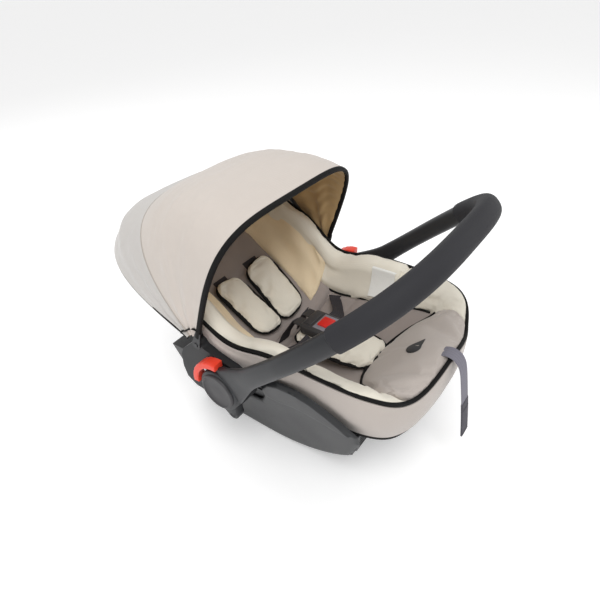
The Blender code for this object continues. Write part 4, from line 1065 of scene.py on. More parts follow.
            shape = Shape().pillow(wing, 70, 40, (0.17, 0.10), rise, 0.004, ABOVE_SEAT,
                                   (0.07, 0.14))
            made = shape.piece(f"insert_fold_{side.word}", Turn.CARRIER.value, [BEIGE_CLOTH],
                               "cloth_cream", [f"insert_wing_{side.word}"])
            self.stuffing.add(made, 0.0015, slack=0.01)

    def label(self) -> None:
        """Blank sewn label on the left bolster."""
        def place(u: float, v: float) -> Vector:
            """Point of this patch."""
            around = 0.372 + 0.046 * u
            spot = self.surface(around, 0.57 + 0.26 * v)
            normal = facing_normal(lambda a, b: self.surface(0.35 + 0.08 * a, 0.5 + 0.3 * b),
                                   0.4, 0.5, ABOVE_SEAT)
            return spot + normal * 0.0215

        shape = Shape()
        shape.patch(place, 24, 30, (0.035, 0.045))
        shape.piece("blank_label", Turn.CARRIER.value, [LABEL_CLOTH], "label", ["sewn_label"],
                    thickness=0.0008)

    def build(self) -> None:
        """Make every piece of the cover."""
        for side in Side:
            self.bolster(side)
        self.centre()
        self.head()
        self.foot()
        self.pipings()
        self.insert()
        self.label()


# ---------------------------------------------------------------- shell, skirt and rim

@dataclass
class Carrier:
    """Moulded shell with its rocker covers, cloth skirt and rim piping."""

    skirt_reach: float = 0.64
    # Flat cut of the skirt: width, length, and area, since its ends taper.
    skirt_cut: tuple[float, float, float] = (1.012, 0.159, 0.092)
    cheek: tuple[tuple[float, float], ...] = (
        (-0.068, 0.188), (-0.070, 0.166), (-0.100, 0.166), (-0.136, 0.178), (-0.177, 0.177),
        (-0.216, 0.172), (-0.238, 0.174), (-0.226, 0.190), (-0.203, 0.209), (-0.177, 0.226),
        (-0.150, 0.232), (-0.117, 0.229), (-0.090, 0.216),
    )

    def shell(self) -> None:
        """Moulded bucket with a raised rim band and ribs at the back."""
        def place(u: float, v: float) -> Vector:
            """Point of this patch."""
            around, up = 2 * u, v
            spot = SHELL.point(around, up)
            centre = Vector((0, spot.y * 0.6, 0.34))
            outward = (spot - centre).normalized()
            band = 0.0015 * smooth_step((up - 0.90) / 0.02)
            back = smooth_step((spot.y - 0.04) / 0.05)
            rib = 0.0022 * back * smooth_step(abs(sin(14 * up)) * 3 - 1.6) * (up < 0.88)
            return spot + outward * (band + rib) * min(1.0, up * 6)

        shape = Shape()
        shape.patch(place, 168, 72, (1.2, 0.3))
        bmesh.ops.remove_doubles(shape.bm, verts=shape.bm.verts, dist=2e-5)
        shape.piece("bucket_shell", Turn.CARRIER.value, [SHELL_PLASTIC], "shell_plastic",
                    ["shell"], thickness=0.003)

    def skirt_low(self, around: float) -> float:
        """Lowest height of the skirt at a place around."""
        return min(0.9, ((2 + abs(around) * 30 * 0.30) / 8) ** 0.85)

    def skirt_place(self, u: float, v: float, lift: float = 0.0045) -> Vector:
        """Point of the skirt; v runs from its hem to the rim."""
        around = (2 * u - 1) * self.skirt_reach
        low = self.skirt_low(around)
        up = low + (1 - low) * v
        spot = SHELL.point(around % 2.0, up)
        outward = (spot - Vector((0, spot.y * 0.6, 0.34))).normalized()
        soft = 0.0016 * ripple(spot, 0.045, 3.0) * sin(pi * min(1, v * 1.1))
        fold = smooth_step((abs(around) - 0.34) / 0.08) * smooth_step((0.63 - abs(around)) / 0.05)
        fold *= sin(pi * v)
        spot += outward * (lift + soft + 0.008 * fold)
        spot.z += 0.0062 * smooth_step((v - 0.85) / 0.15) + 0.014 * fold
        return spot

    def skirt(self) -> None:
        """Cloth around the outside of the foot end, with a bound hem."""
        shape = Shape()
        shape.patch(self.skirt_place, 150, 30, (0.80, 0.13))
        cloth = shape.piece("foot_skirt", Turn.CARRIER.value, [TAUPE_CLOTH], "cloth_taupe",
                            ["skirt"], thickness=0.0016)
        hem = Shape()
        path = [self.skirt_place(k / 150, 0.0) for k in range(151)]
        made = hem.sweep(path, oval(0.007, 0.0034, 3.0), Vector((0, 0, 1)), 10)
        edge = made.piece("skirt_binding", Turn.CARRIER.value, [PIPING], "piping")

    def rim(self) -> None:
        """Piping all around the rim."""
        path = [SHELL.rim(2 * k / 240) + Vector((0, 0, 0.0072)) for k in range(240)]
        Shape().sweep(path, oval(0.0066, 0.0066), Vector((0, 0.02, 1)), 10, True).piece(
            "rim_cord", Turn.CARRIER.value, [PIPING], "piping", ["rim_piping"])

    def rocker_line(self, y: float) -> float:
        """Height of the rocker's underside at y."""
        reach = max(-0.016 - y, y - 0.056, 0.0)
        return 0.290 - sqrt(0.290 ** 2 - reach ** 2)

    def outline(self) -> list[tuple[float, float]]:
        """Edge of a side cover, as (y, z) points."""
        bottom = [(-0.218 + 0.368 * k / 40, 0.0) for k in range(41)]
        bottom = [(y, self.rocker_line(y) + 0.0035) for y, _ in bottom]
        top = [(0.160, 0.096), (0.060, 0.114), (-0.010, 0.120), (-0.044, 0.127),
               (-0.058, 0.150), (-0.062, 0.190), (-0.084, 0.220), (-0.115, 0.235),
               (-0.150, 0.238), (-0.178, 0.232), (-0.206, 0.214), (-0.230, 0.194),
               (-0.248, 0.176), (-0.248, 0.152), (-0.232, 0.118)]
        return bottom + top

    def covers(self) -> None:
        """Side covers with a raised cheek panel and rounded edges."""
        outline = self.outline()
        loop = [Vector((0, *p)) for p in outline]
        fine = []
        for k in range(len(loop)):
            fine.append(loop[k])
        for side in Side:
            shape = Shape()
            bm = shape.bm
            made = bmesh.ops.create_grid(bm, x_segments=150, y_segments=90, size=0.5)["verts"]
            for vert in made:
                vert.co = Vector((0, -0.252 + 0.416 * (vert.co.x + 0.5),
                                  0.243 * (vert.co.y + 0.5)))
            far = {v: signed_distance(outline, v.co.y, v.co.z) for v in made}
            lost = [f for f in bm.faces if all(far[v] < 0.0 for v in f.verts)]
            bmesh.ops.delete(bm, geom=lost, context="FACES")
            for face in bm.faces:
                face.smooth = True
                for loop_ in face.loops:
                    loop_[shape.uv].uv = (loop_.vert.co.y, loop_.vert.co.z)
            self.snap(bm, outline)
            for vert in bm.verts:
                y, z = vert.co.y, vert.co.z
                inside = max(0.0, signed_distance(outline, y, z))
                raised = smooth_step((signed_distance(self.cheek, y, z) + 0.0015) / 0.0035)
                out = 0.118 + 0.215 * z + 0.012 * (z / 0.238) ** 2 + 0.0045
                out += 0.004 * raised - 0.005 * (1 - rounding(inside, 0.008))
                vert.co.x = side.value * out
            shape.piece(f"rocker_cover_{side.word}", Turn.CARRIER.value, [COVER_PLASTIC],
                        "moulding", [f"side_cover_{side.word}"], thickness=0.0025, sharp=60)

    def snap(self, bm: bmesh.types.BMesh, outline: Sequence[tuple[float, float]]) -> None:
        """Move the border of a grid onto an outline."""
        for vert in [v for v in bm.verts if v.is_boundary]:
            best, spot = 1e9, (0.0, 0.0)
            for (ay, az), (by, bz) in zip(outline, [*outline[1:], outline[0]]):
                run, rise = by - ay, bz - az
                along = (vert.co.y - ay) * run + (vert.co.z - az) * rise
                share = along / (run * run + rise * rise)
                share = max(0.0, min(1.0, share))
                near = (ay + run * share, az + rise * share)
                gap = (near[0] - vert.co.y) ** 2 + (near[1] - vert.co.z) ** 2
                if gap < best:
                    best, spot = gap, near
            vert.co.y, vert.co.z = spot

    def end_panels(self) -> None:
        """Ribbed panels that close the front and rear of the rocker."""
        for word, y, lean in (("front", -0.2235, -0.010), ("rear", 0.1775, 0.010)):
            def place(u: float, v: float) -> Vector:
                """Point of this patch."""
                low = self.rocker_line(y) + 0.006
                z = low + (0.146 - low) * v
                half = 0.112 + 0.215 * z
                inside = min(min(u, 1 - u) * 2 * half, min(v, 1 - v) * (0.146 - low))
                step = smooth_step((inside - 0.007) / 0.003)
                rib = smooth_step(abs(sin(pi * 5 * v)) * 2.4 - 1.2) * step
                out = 0.0035 * rounding(inside, 0.003) - 0.0030 * step + 0.0026 * rib
                side = 1.0 if lean > 0 else -1.0
                base = y + lean * (z - low) / (0.15 - low)
                return Vector(((2 * u - 1) * half, base + side * out, z))

            shape = Shape()
            shape.patch(lambda u, v: place(dense_ends(u, 0.5), v), 90, 70, (0.25, 0.12))
            shape.piece(f"rocker_{word}_panel", Turn.CARRIER.value, [COVER_PLASTIC], "moulding",
                        thickness=0.0015, sharp=40)

    def build(self) -> None:
        """Make every piece of the carrier."""
        self.shell()
        self.end_panels()
        self.skirt()
        self.rim()
        self.covers()


# ---------------------------------------------------------------- handle

@dataclass
class Handle:
    """Carry handle with its grip sleeve, hubs and release buttons."""

    reach: float = 0.4015
    tilt: float = radians(41.9)
    half: float = 0.2038
    spread: float = 0.032
    power: float = 3.2
    steps: int = 160

    @property
    def direction(self) -> Vector:
        """From the pivots towards the grip."""
        return Vector((0, -cos(self.tilt), sin(self.tilt)))

    def point(self, share: float) -> Vector:
        """Centre line; share runs 0 to 2 from the left hub over the grip to the right hub."""
        mirror = 1.0 if share <= 1 else -1.0
        half = share if share <= 1 else 2 - share
        angle = pi / 2 * half ** (self.power / 2)
        reach = sin(angle) ** (2 / self.power)
        out = max(cos(angle), 0.0) ** (2 / self.power)
        width = (self.half + self.spread * reach) * out
        return PIVOT + Vector((mirror * width, 0, 0)) + self.direction * (self.reach * reach)

    def section(self, point: Vector, grow: float) -> tuple[float, float]:
        """Full depth and thickness at a point of the centre line."""
        reach = (point - Vector((point.x, PIVOT.y, PIVOT.z))).length
        share = max(0.0, 1 - reach / 0.190)
        deep = 0.032 + 0.020 * share ** 2 + 0.030 * smooth_step(1 - reach / 0.105)
        thick = 0.028 - 0.010 * min(1.0, share * 1.6)
        return deep + 2 * grow, thick + 2 * grow

    def tube(self, first: float, last: float, grow: Profile) -> Shape:
        """Tube between two places of the centre line."""
        path = [self.point(first + (last - first) * k / self.steps) for k in range(self.steps + 1)]
        normal = Vector((1, 0, 0)).cross(self.direction)

        def shape(u: float, v: float) -> tuple[float, float]:
            """Section of the tube at a place along it."""
            wide, thick = self.section(path[round(v * self.steps)], grow(u, v))
            return oval(wide, thick, 2.4)(u, v)

        return Shape().sweep(path, shape, normal, 28)

    def hub(self, side: Side) -> None:
        """Housing, tail and cap of one hub."""
        s = side.value
        profile = [(0.0, 0.1925), (0.0385, 0.1925), (0.0400, 0.1940), (0.0400, 0.2135),
                   (0.0392, 0.2152), (0.0375, 0.2160), (0.0, 0.2160)]
        shape = Shape().turned([(r, s * x) for r, x in profile], PIVOT)
        shape.piece(f"hub_housing_{side.word}", Turn.HANDLE.value, [MOULDING], "moulding",
                    sharp=40)
        self.tail(side)
        cap = [(0.0, 0.2163), (0.0340, 0.2163), (0.0340, 0.2188), (0.0332, 0.2198),
               (0.0320, 0.2201), (0.0300, 0.2200), (0.0290, 0.2190), (0.0282, 0.2184),
               (0.0120, 0.2190), (0.0, 0.2192)]
        Shape().turned([(r, s * x) for r, x in cap], PIVOT).piece(
            f"hub_disc_{side.word}", Turn.HANDLE.value, [CAP_PLASTIC], "cap",
            [f"hub_cap_{side.word}"], sharp=40)

    def tail(self, side: Side) -> None:
        """Rounded tail below the hub with a ring mark near its tip."""
        low, high = 0.1965, 0.2140
        aim = radians(-117)
        tip = 0.048
        outline = []
        for k in range(17):
            angle = aim - pi / 2 + pi * k / 16
            outline.append((PIVOT.y + tip * cos(aim) + 0.012 * cos(angle),
                            PIVOT.z + tip * sin(aim) + 0.012 * sin(angle)))
        for turned in (pi / 2, -pi / 2):
            outline.append((PIVOT.y + 0.036 * cos(aim + turned),
                            PIVOT.z + 0.036 * sin(aim + turned)))
        shape = Shape().plate(outline, side.value * low, side.value * high, 0.0022)
        shape.piece(f"hub_tail_{side.word}", Turn.HANDLE.value, [MOULDING], "moulding", sharp=35)
        notch = []
        for k in range(13):
            angle = aim - pi / 2 + pi * k / 12
            notch.append((PIVOT.y + 0.0485 * cos(aim) + 0.0062 * cos(angle),
                          PIVOT.z + 0.0485 * sin(aim) + 0.0062 * sin(angle)))
        ring = [Vector((side.value * 0.2141, y, z)) for y, z in notch]
        Shape().sweep(ring, oval(0.0016, 0.0012), Vector((1, 0, 0)), 8).piece(
            f"tail_mark_{side.word}", Turn.HANDLE.value, [CAP_PLASTIC], "cap")

    def release(self, side: Side) -> None:
        """Crescent release button with grip ridges."""
        low, high = 0.1975, 0.2175
        inner, outer = 0.0455, 0.0572
        start, end = radians(-3), radians(93)
        outline = []
        for k in range(41):
            angle = start + (end - start) * k / 40
            bump = 0.0008 * max(0.0, sin(k * 2 * pi / 5)) if 8 < k < 32 else 0.0
            outline.append((PIVOT.y + (outer - bump) * cos(angle),
                            PIVOT.z + (outer - bump) * sin(angle)))
        for k in range(40, -1, -1):
            angle = start + (end - start) * k / 40
            outline.append((PIVOT.y + inner * cos(angle), PIVOT.z + inner * sin(angle)))
        shape = Shape().plate(outline, side.value * low, side.value * high, 0.0024, 3)
        shape.piece(f"release_crescent_{side.word}", f"release_{side.word}", [RELEASE_PLASTIC],
                    "release", [f"release_button_{side.word}"], sharp=35)

    def build(self) -> None:
        """Make every piece of the handle."""
        def plain(u: float, v: float) -> float:
            """No growth along the bare tube."""
            return 0.0

        self.tube(0.0, 2.0, plain).piece("handle_bar", Turn.HANDLE.value, [MOULDING], "moulding",
                                         ["handle_frame"])
        start = 2 * 14 / 48

        def sleeve(u: float, v: float) -> float:
            """Growth of the tube under its sleeve."""
            ends = rounding(min(v, 1 - v), 0.006)
            return 0.0006 + 0.0022 * ends

        self.tube(start, 2 - start, sleeve).piece("grip_sleeve", Turn.HANDLE.value, [GRIP_SLEEVE],
                                                  "grip", ["handle_grip"])
        for side in Side:
            self.hub(side)
            self.release(side)


# ---------------------------------------------------------------- canopy

@dataclass
class Canopy:
    """Folding canopy of one continuous cloth, with its lining and bindings."""

    front: float = radians(68.4)
    seam: float = radians(128.7)
    hem: float = radians(158.9)
    half: float = 0.194
    # Flat cuts: width over the bows, length along the crown, and area, since both narrow
    # to the pivots.
    cover_cut: tuple[float, float, float] = (0.815, 0.413, 0.212)
    lining_cut: tuple[float, float, float] = (0.799, 0.406, 0.204)

    def values(self, angle: float) -> tuple[float, float]:
        """Reach and roundness of the arch at an angle about the pivot."""
        stations = ((self.front, 0.236, 4.5), (self.seam, 0.250, 3.4),
                    (radians(148.9), 0.291, 3.6), (self.hem, 0.2972, 3.6))
        first, second = stations[0], stations[1]
        for first, second in zip(stations, stations[1:]):
            if angle <= second[0]:
                break
        share = smooth_step((angle - first[0]) / (second[0] - first[0]))
        return (first[1] + (second[1] - first[1]) * share,
                first[2] + (second[2] - first[2]) * share)

    def point(self, angle: float, along: float, inset: float = 0.0,
              foot: float = 0.0200) -> Vector:
        """Point of the canopy; along runs -1 to 1 from the right pivot to the left."""
        reach, power = self.values(angle)
        low = (foot / reach) ** (power / 2)
        start = atan2(low, sqrt(1 - low * low))
        bend = pi / 2 - (pi / 2 - start) * abs(along)
        radial = (reach - inset) * sin(bend) ** (2 / power)
        x = (self.half - inset) * max(cos(bend), 0.0) ** (2 / power)
        return Vector((x if along > 0 else -x, CANOPY_PIVOT.y - radial * cos(angle),
                       CANOPY_PIVOT.z + radial * sin(angle)))

    def slack(self, angle: float, along: float) -> float:
        """How far the cloth lies inside its taut shape."""
        if angle < self.seam:
            share = (angle - self.front) / (self.seam - self.front)
        else:
            share = (angle - self.seam) / (self.hem - self.seam)
        between = sin(pi * max(0.0, min(1.0, share)))
        low = abs(along) ** 3
        spot = self.point(angle, along)
        crease = ripple(Vector((spot.x * 0.4, spot.y * 1.6, spot.z)), 0.050, 5.0)
        fine = ripple(Vector((spot.x * 0.5, spot.y * 2.2, spot.z * 0.8)), 0.022, 9.0)
        folds = 0.0050 * low * (0.5 + 0.5 * sin(share * 17 + 5 * along))
        return between * (0.003 + 0.0022 * crease + 0.0009 * fine - folds)

    def cloth(self, name: str, looks: Sequence[Finish], inset: float, wave: float,
              slot: str, nodes: Sequence[str],
              cut: tuple[float, float, float]) -> bpy.types.Object:
        """One sheet over the bows, its front and rear fields in two finishes."""
        shape = Shape()
        fields = ((self.front, self.seam, 66, 0), (self.seam, self.hem, 34, 1))
        for start, end, steps, number in fields:
            def place(u: float, v: float) -> Vector:
                """Point of this patch."""
                angle = start + (end - start) * v
                along = 2 * dense_ends(u, 0.3) - 1
                gather = wave * sin(u * 150 + 3 * sin(v * 9)) * sin(pi * v)
                return self.point(angle, along, inset + self.slack(angle, along) + gather)

            length = 0.25 * (end - start)
            shape.patch(place, 132, steps, (0.62, length), min(number, len(looks) - 1))
        bmesh.ops.remove_doubles(shape.bm, verts=shape.bm.verts, dist=1e-5)
        made = shape.piece(name, None, looks, slot, nodes, thickness=0.0012)
        return self.bending(made)

    def bending(self, thing: bpy.types.Object) -> bpy.types.Object:
        """Bake a piece's placement into its mesh, leaving it on no body."""
        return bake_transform(thing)

    def strip(self, name: str, path: Sequence[Vector], wide: float, thick: float,
              facing: Vector, look: Finish = PIPING,
              nodes: Sequence[str] = ()) -> bpy.types.Object:
        """Flat binding along a path."""
        made = Shape().sweep(path, oval(wide, thick, 3.0), facing, 12)
        return self.bending(made.piece(name, None, [look], "piping", nodes))

    def build(self) -> None:
        """Make every piece of the canopy."""
        self.cloth("canopy_sheet", [CANOPY_CLOTH, REAR_CLOTH], 0.0, 0.0, "canopy_cloth",
                   ["canopy_front_panel", "canopy_rear_panel"], self.cover_cut)
        self.cloth("canopy_lining", [LINING_CLOTH, LINING_CLOTH], 0.0048, 0.0016, "canopy_cloth",
                   [], self.lining_cut)
        count = 120
        spots = [2 * dense_ends(k / count, 0.3) - 1 for k in range(count + 1)]
        edge = self.front + 0.0026 / 0.236
        self.strip("canopy_front_binding", [self.point(edge, a, 0.0028) for a in spots], 0.0094,
                   0.0078, Vector((0, sin(edge), cos(edge))), nodes=["canopy_front_bow"])
        self.strip("canopy_seam_tape", [self.point(self.seam, a, 0.0) for a in spots], 0.004,
                   0.0016, Vector((0, sin(self.seam), cos(self.seam))), DARK_SEAM)
        self.strip("canopy_hem", [self.point(self.hem, a, 0.002) for a in spots], 0.007, 0.004,
                   Vector((0, sin(self.hem), cos(self.hem))))
        for side in Side:
            path = []
            for k in range(41):
                angle = self.front + (self.hem - self.front) * k / 40
                path.append(self.point(angle, side.value * 0.992, 0.001))
            self.strip(f"canopy_side_hem_{side.word}", path, 0.006, 0.0035,
                       Vector((side.value, 0, 0.2)))


DARK_SEAM = Cloth("seam_cloth", linear(176, 168, 160), 0.6, 1500.0, 0.1, 0.3)


# ---------------------------------------------------------------- harness

@dataclass
class Harness:
    """Five-point harness with its pads and buckle."""

    stuffing: Stuffing

    def seat_top(self, y: float, lift: float) -> Vector:
        """Point above the seat's centre line."""
        slope = atan2(SEAT.height(y + 0.004) - SEAT.height(y - 0.004), 0.008)
        return Vector((0, y - lift * sin(slope), SEAT.height(y) + lift * cos(slope)))

    def spread(self, y: float) -> float:
        """Distance of the shoulder straps from the centre line."""
        share = max(0.0, (0.150 - y) / 0.140)
        return 0.043 - 0.013 * share ** 1.5

    def shoulder(self, side: Side) -> None:
        """One shoulder strap with its pad."""
        s = side.value
        lean = Vector((1, 0, s * sin(radians(9))))
        lift = 0.002 + 0.008 + 0.001 + 0.005
        route = []
        for k in range(6):
            y = 0.150 - 0.140 * k / 5
            route.append(self.seat_top(y, lift) + Vector((s * self.spread(y), 0, 0)))
        end = Vector((s * 0.0148, -0.022, 0.207))
        for share, rise in ((0.35, 0.002), (0.70, 0.001), (1.0, 0.0)):
            route.append(route[5].lerp(end, share) + Vector((0, 0, rise)))
        path = resampled(route, 80)

        def web(u: float, v: float) -> tuple[float, float]:
            """Section of the webbing."""
            wide = 0.036 - 0.014 * max(0.0, 2 * v - 1)
            return oval(wide, 0.0021, 5.0)(u, v)

        strap = Shape().sweep(path, web, lean, 16)
        made = strap.piece(f"shoulder_web_{side.word}", None, [WEBBING], "webbing",
                           [f"shoulder_strap_{side.word}"])
        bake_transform(made)
        self.shoulder_pad(side, lean, lift + 0.001 + 0.002 + 0.008)

    def shoulder_pad(self, side: Side, lean: Vector, lift: float) -> None:
        """Stuffed pad around a shoulder strap, bound in black."""
        s = side.value
        route = []
        for k in range(13):
            y = 0.140 - 0.104 * k / 12
            route.append(self.seat_top(y, lift) + Vector((s * self.spread(y), 0, 0)))
        path = resampled(route, 60)
        across = lean.normalized()

        def place(u: float, v: float) -> Vector:
            """Point of this patch."""
            spot = path[round(v * 60)] if abs(v * 60 - round(v * 60)) < 1e-6 else None
            if spot is None:
                low = min(int(v * 60), 59)
                spot = path[low].lerp(path[low + 1], v * 60 - low)
            taper = (1 - 0.93 * abs(2 * v - 1) ** 8) ** 0.4
            return spot + across * (u - 0.5) * 0.066 * taper

        def rise(u: float, v: float) -> float:
            """Height of the filling above the seams."""
            return 0.0090 + 0.0007 * sin(23 * v + 5 * u) * sin(7 * u)

        shape = Shape().pillow(place, 40, 70, (0.062, 0.15), rise, 0.0070, ABOVE_SEAT,
                               (0.16, 0.07))
        made = shape.piece(f"shoulder_cushion_{side.word}", Turn.CARRIER.value, [CREAM_CLOTH],
                           "cloth_cream", [f"shoulder_pad_{side.word}"])
        self.stuffing.add(made, 0.005)
        self.binding(f"shoulder_binding_{side.word}", place, 0.0038)

    def binding(self, name: str, place: Place, radius: float, steps: int = 36) -> None:
        """Bound edge all around a pad."""
        loop = [place(k / steps, 0.0) for k in range(steps)]
        loop += [place(1.0, k / steps) for k in range(steps)]
        loop += [place(1 - k / steps, 1.0) for k in range(steps)]
        loop += [place(0.0, 1 - k / steps) for k in range(steps)]
        for _ in range(5):
            count = len(loop)
            loop = [(loop[k - 1] + loop[k] * 2 + loop[(k + 1) % count]) / 4 for k in range(count)]
        made = Shape().sweep(loop, oval(1.5 * radius, 2.6 * radius), Vector((0.02, 0.3, 1)), 10,
                             True)
        made.piece(name, Turn.CARRIER.value, [PIPING], "piping")

    def hip(self, side: Side) -> None:
        """Hip strap from the cover to the buckle."""
        s = side.value
        points = ((0.112, -0.026, 0.186), (0.106, -0.030, 0.184), (0.086, -0.048, 0.183),
                  (0.060, -0.067, 0.190), (0.0325, -0.070, 0.195))
        path = resampled([(s * x, y, z) for x, y, z in points], 48)
        Shape().sweep(path, oval(0.025, 0.0021, 5.0), Vector((0, 1, 0.3)), 14).piece(
            f"hip_web_{side.word}", Turn.CARRIER.value, [WEBBING], "webbing",
            [f"hip_strap_{side.word}"])

    def crotch_place(self, u: float, v: float) -> Vector:
        """Middle surface of the crotch pad; v runs from the foot to the child."""
        stations = ((0.0, 0.30), (0.10, 0.44), (0.30, 0.49), (0.55, 0.50), (0.80, 0.43),
                    (0.92, 0.36), (1.0, 0.26))
        first, second = stations[0], stations[1]
        for first, second in zip(stations, stations[1:]):
            if v <= second[0]:
                break
        share = smooth_step((v - first[0]) / (second[0] - first[0]))
        half = (first[1] + (second[1] - first[1]) * share) * 0.094
        x = (2 * u - 1) * half
        y = (v - 0.5) * 0.164 + 0.012
        arch = 0.004 * (1 - (2 * v - 1) ** 2) - 0.004 * (2 * u - 1) ** 2
        spot = Vector((x, y, arch - 0.001))
        spot.rotate(Matrix.Rotation(radians(-4), 3, "X"))
        return spot + CROTCH_PLACE

    def crotch(self) -> None:
        """Shield-shaped crotch pad, bound in black, and its strap."""
        def rise(u: float, v: float) -> float:
            """Height of the filling above the seams."""
            return 0.0075 + 0.0008 * sin(11 * v + 3 * u)

        shape = Shape().pillow(self.crotch_place, 50, 64, (0.088, 0.14), rise, 0.006,
                               CROTCH_PLACE + Vector((0, 0, 0.4)), (0.14, 0.09))
        made = shape.piece("crotch_cushion", Turn.CARRIER.value, [CREAM_CLOTH], "cloth_cream",
                           ["crotch_pad"])
        self.stuffing.add(made, 0.004)
        self.binding("crotch_binding", self.crotch_place, 0.0034)
        route = [Vector(p) for p in ((0.0, -0.140, 0.1560), (0.0, -0.146, 0.162),
                                     (0.0, -0.140, 0.168), (0.0, -0.120, 0.1705),
                                     (0.0, -0.100, 0.170))]
        Shape().sweep(resampled(route, 24), oval(0.036, 0.0021, 5.0), Vector((1, 0, 0)), 14).piece(
            "crotch_web", Turn.CARRIER.value, [WEBBING], "webbing", ["crotch_strap"])

    def buckle(self) -> None:
        """Buckle body, its top plate and the red button."""
        shape = Shape().box((0.058, 0.064, 0.022), BUCKLE_PLACE + Vector((0, 0, -0.001)), 0.006)
        shape.box((0.044, 0.036, 0.004), BUCKLE_PLACE + Vector((0, -0.011, 0.0086)), 0.0015, 3,
                  slot=1)
        shape.box((0.040, 0.016, 0.003), BUCKLE_PLACE + Vector((0, 0.019, 0.0102)), 0.0012, 3)
        shape.piece("buckle_case", Turn.CARRIER.value, [BUCKLE_PLASTIC, BEZEL_PLASTIC], "moulding",
                    ["buckle_body"], sharp=35)
        button = Shape().box((0.026, 0.024, 0.008), BUCKLE_PLACE + Vector((0, -0.010, 0.0102)),
                             0.0016, 3)
        button.piece("buckle_key", Turn.BUCKLE.value, [BUCKLE_RED], "buckle_red",
                     ["buckle_button"], sharp=35)

    def build(self) -> None:
        """Make every piece of the harness."""
        for side in Side:
            self.shoulder(side)
            self.hip(side)
        self.crotch()
        self.buckle()


@dataclass
class Adjuster:
    """Harness adjuster in the foot flap, with its free strap."""

    place: Vector = field(default_factory=lambda: Vector((0.0, -0.250, 0.0)))
    route: tuple[tuple[float, float, float], ...] = (
        (0.000, -0.2850, 0.2370), (0.000, -0.2915, 0.2450), (0.000, -0.3010, 0.2520),
        (0.000, -0.3130, 0.2560), (0.000, -0.3250, 0.2530), (0.001, -0.3330, 0.2430),
        (0.001, -0.3380, 0.2280), (0.002, -0.343, 0.1950), (0.004, -0.349, 0.1450),
        (0.006, -0.354, 0.0920),
    )

    def teardrop(self, scale: float, height: float, look: Finish, name: str, slot: str,
                 node: Sequence[str], body: str, bevel: float) -> None:
        """Rounded drop, its point towards the foot, on the crown of the flap."""
        outline = []
        for k in range(33):
            angle = radians(-25) + radians(230) * k / 32
            outline.append((0.0105 * cos(angle) * scale, 0.0105 * sin(angle) * scale))
        outline.append((0.0003, -0.022 * scale))
        aside = radians(72)
        outline = [(x * cos(aside) - y * sin(aside) - 0.006, x * sin(aside) + y * cos(aside))
                   for x, y in outline]
        shape = Shape()
        bm = shape.bm
        face = bm.faces.new([bm.verts.new((x, y, 0)) for x, y in outline])
        grown = bmesh.ops.extrude_face_region(bm, geom=[face], use_keep_orig=True)
        moved = [v for v in grown["geom"] if isinstance(v, bmesh.types.BMVert)]
        bmesh.ops.translate(bm, verts=moved, vec=(0, 0, height))
        top = [f for f in grown["geom"] if isinstance(f, bmesh.types.BMFace)]
        rims = list({e for f in top for e in f.edges})
        bmesh.ops.bevel(bm, geom=rims, offset=bevel, segments=3, profile=0.5, affect="EDGES",
                        material=-1)
        spot, slope = self.crown()
        bmesh.ops.rotate(bm, verts=bm.verts, matrix=Matrix.Rotation(slope, 3, "X"))
        bmesh.ops.translate(bm, verts=bm.verts, vec=spot)
        shape.piece(name, body, [look], slot, node, sharp=35)

    def crown(self) -> tuple[Vector, float]:
        """Top of the foot flap at the adjuster, and the slope there."""
        cover = SeatCover(Stuffing())
        share = 0.55
        here = cover.foot_place(0.5, share)
        ahead = cover.foot_place(0.5, share - 0.03)
        behind = cover.foot_place(0.5, share + 0.03)
        slope = atan2(ahead.z - behind.z, ahead.y - behind.y)
        return here + Vector((0, 0, 0.0100)), slope

    def build(self) -> None:
        """Make every piece of the adjuster."""
        self.teardrop(1.25, 0.0024, MOULDING, "adjuster_drop", "rubber", ["adjuster_button"],
                      Turn.ADJUSTER.value, 0.0007)
        path = resampled(self.route, 90)
        strap = Shape().sweep(path, oval(0.025, 0.0017, 6.0), Vector((1, 0, 0)), 14).piece(
            "adjuster_web", Turn.CARRIER.value, [STRAP], "strap", ["adjuster_strap"])
        tip = Shape().sweep(path[-15:], oval(0.0256, 0.0034, 5.0), Vector((1, 0, 0)), 14).piece(
            "adjuster_tip", Turn.CARRIER.value, [STRAP_TIP], "strap")
        for number, back in enumerate((2, 12)):
            spot = path[-back]
            line = [spot + Vector((x * 0.001, -0.0019, 0)) for x in range(-11, 12)]
            Shape().sweep(line, oval(0.0008, 0.0005), Vector((0, 0, 1)), 6).piece(
                f"tip_stitch_{number}", Turn.CARRIER.value, [DARK_THREAD], "strap")
        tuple(path[0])


# ---------------------------------------------------------------- stage and main

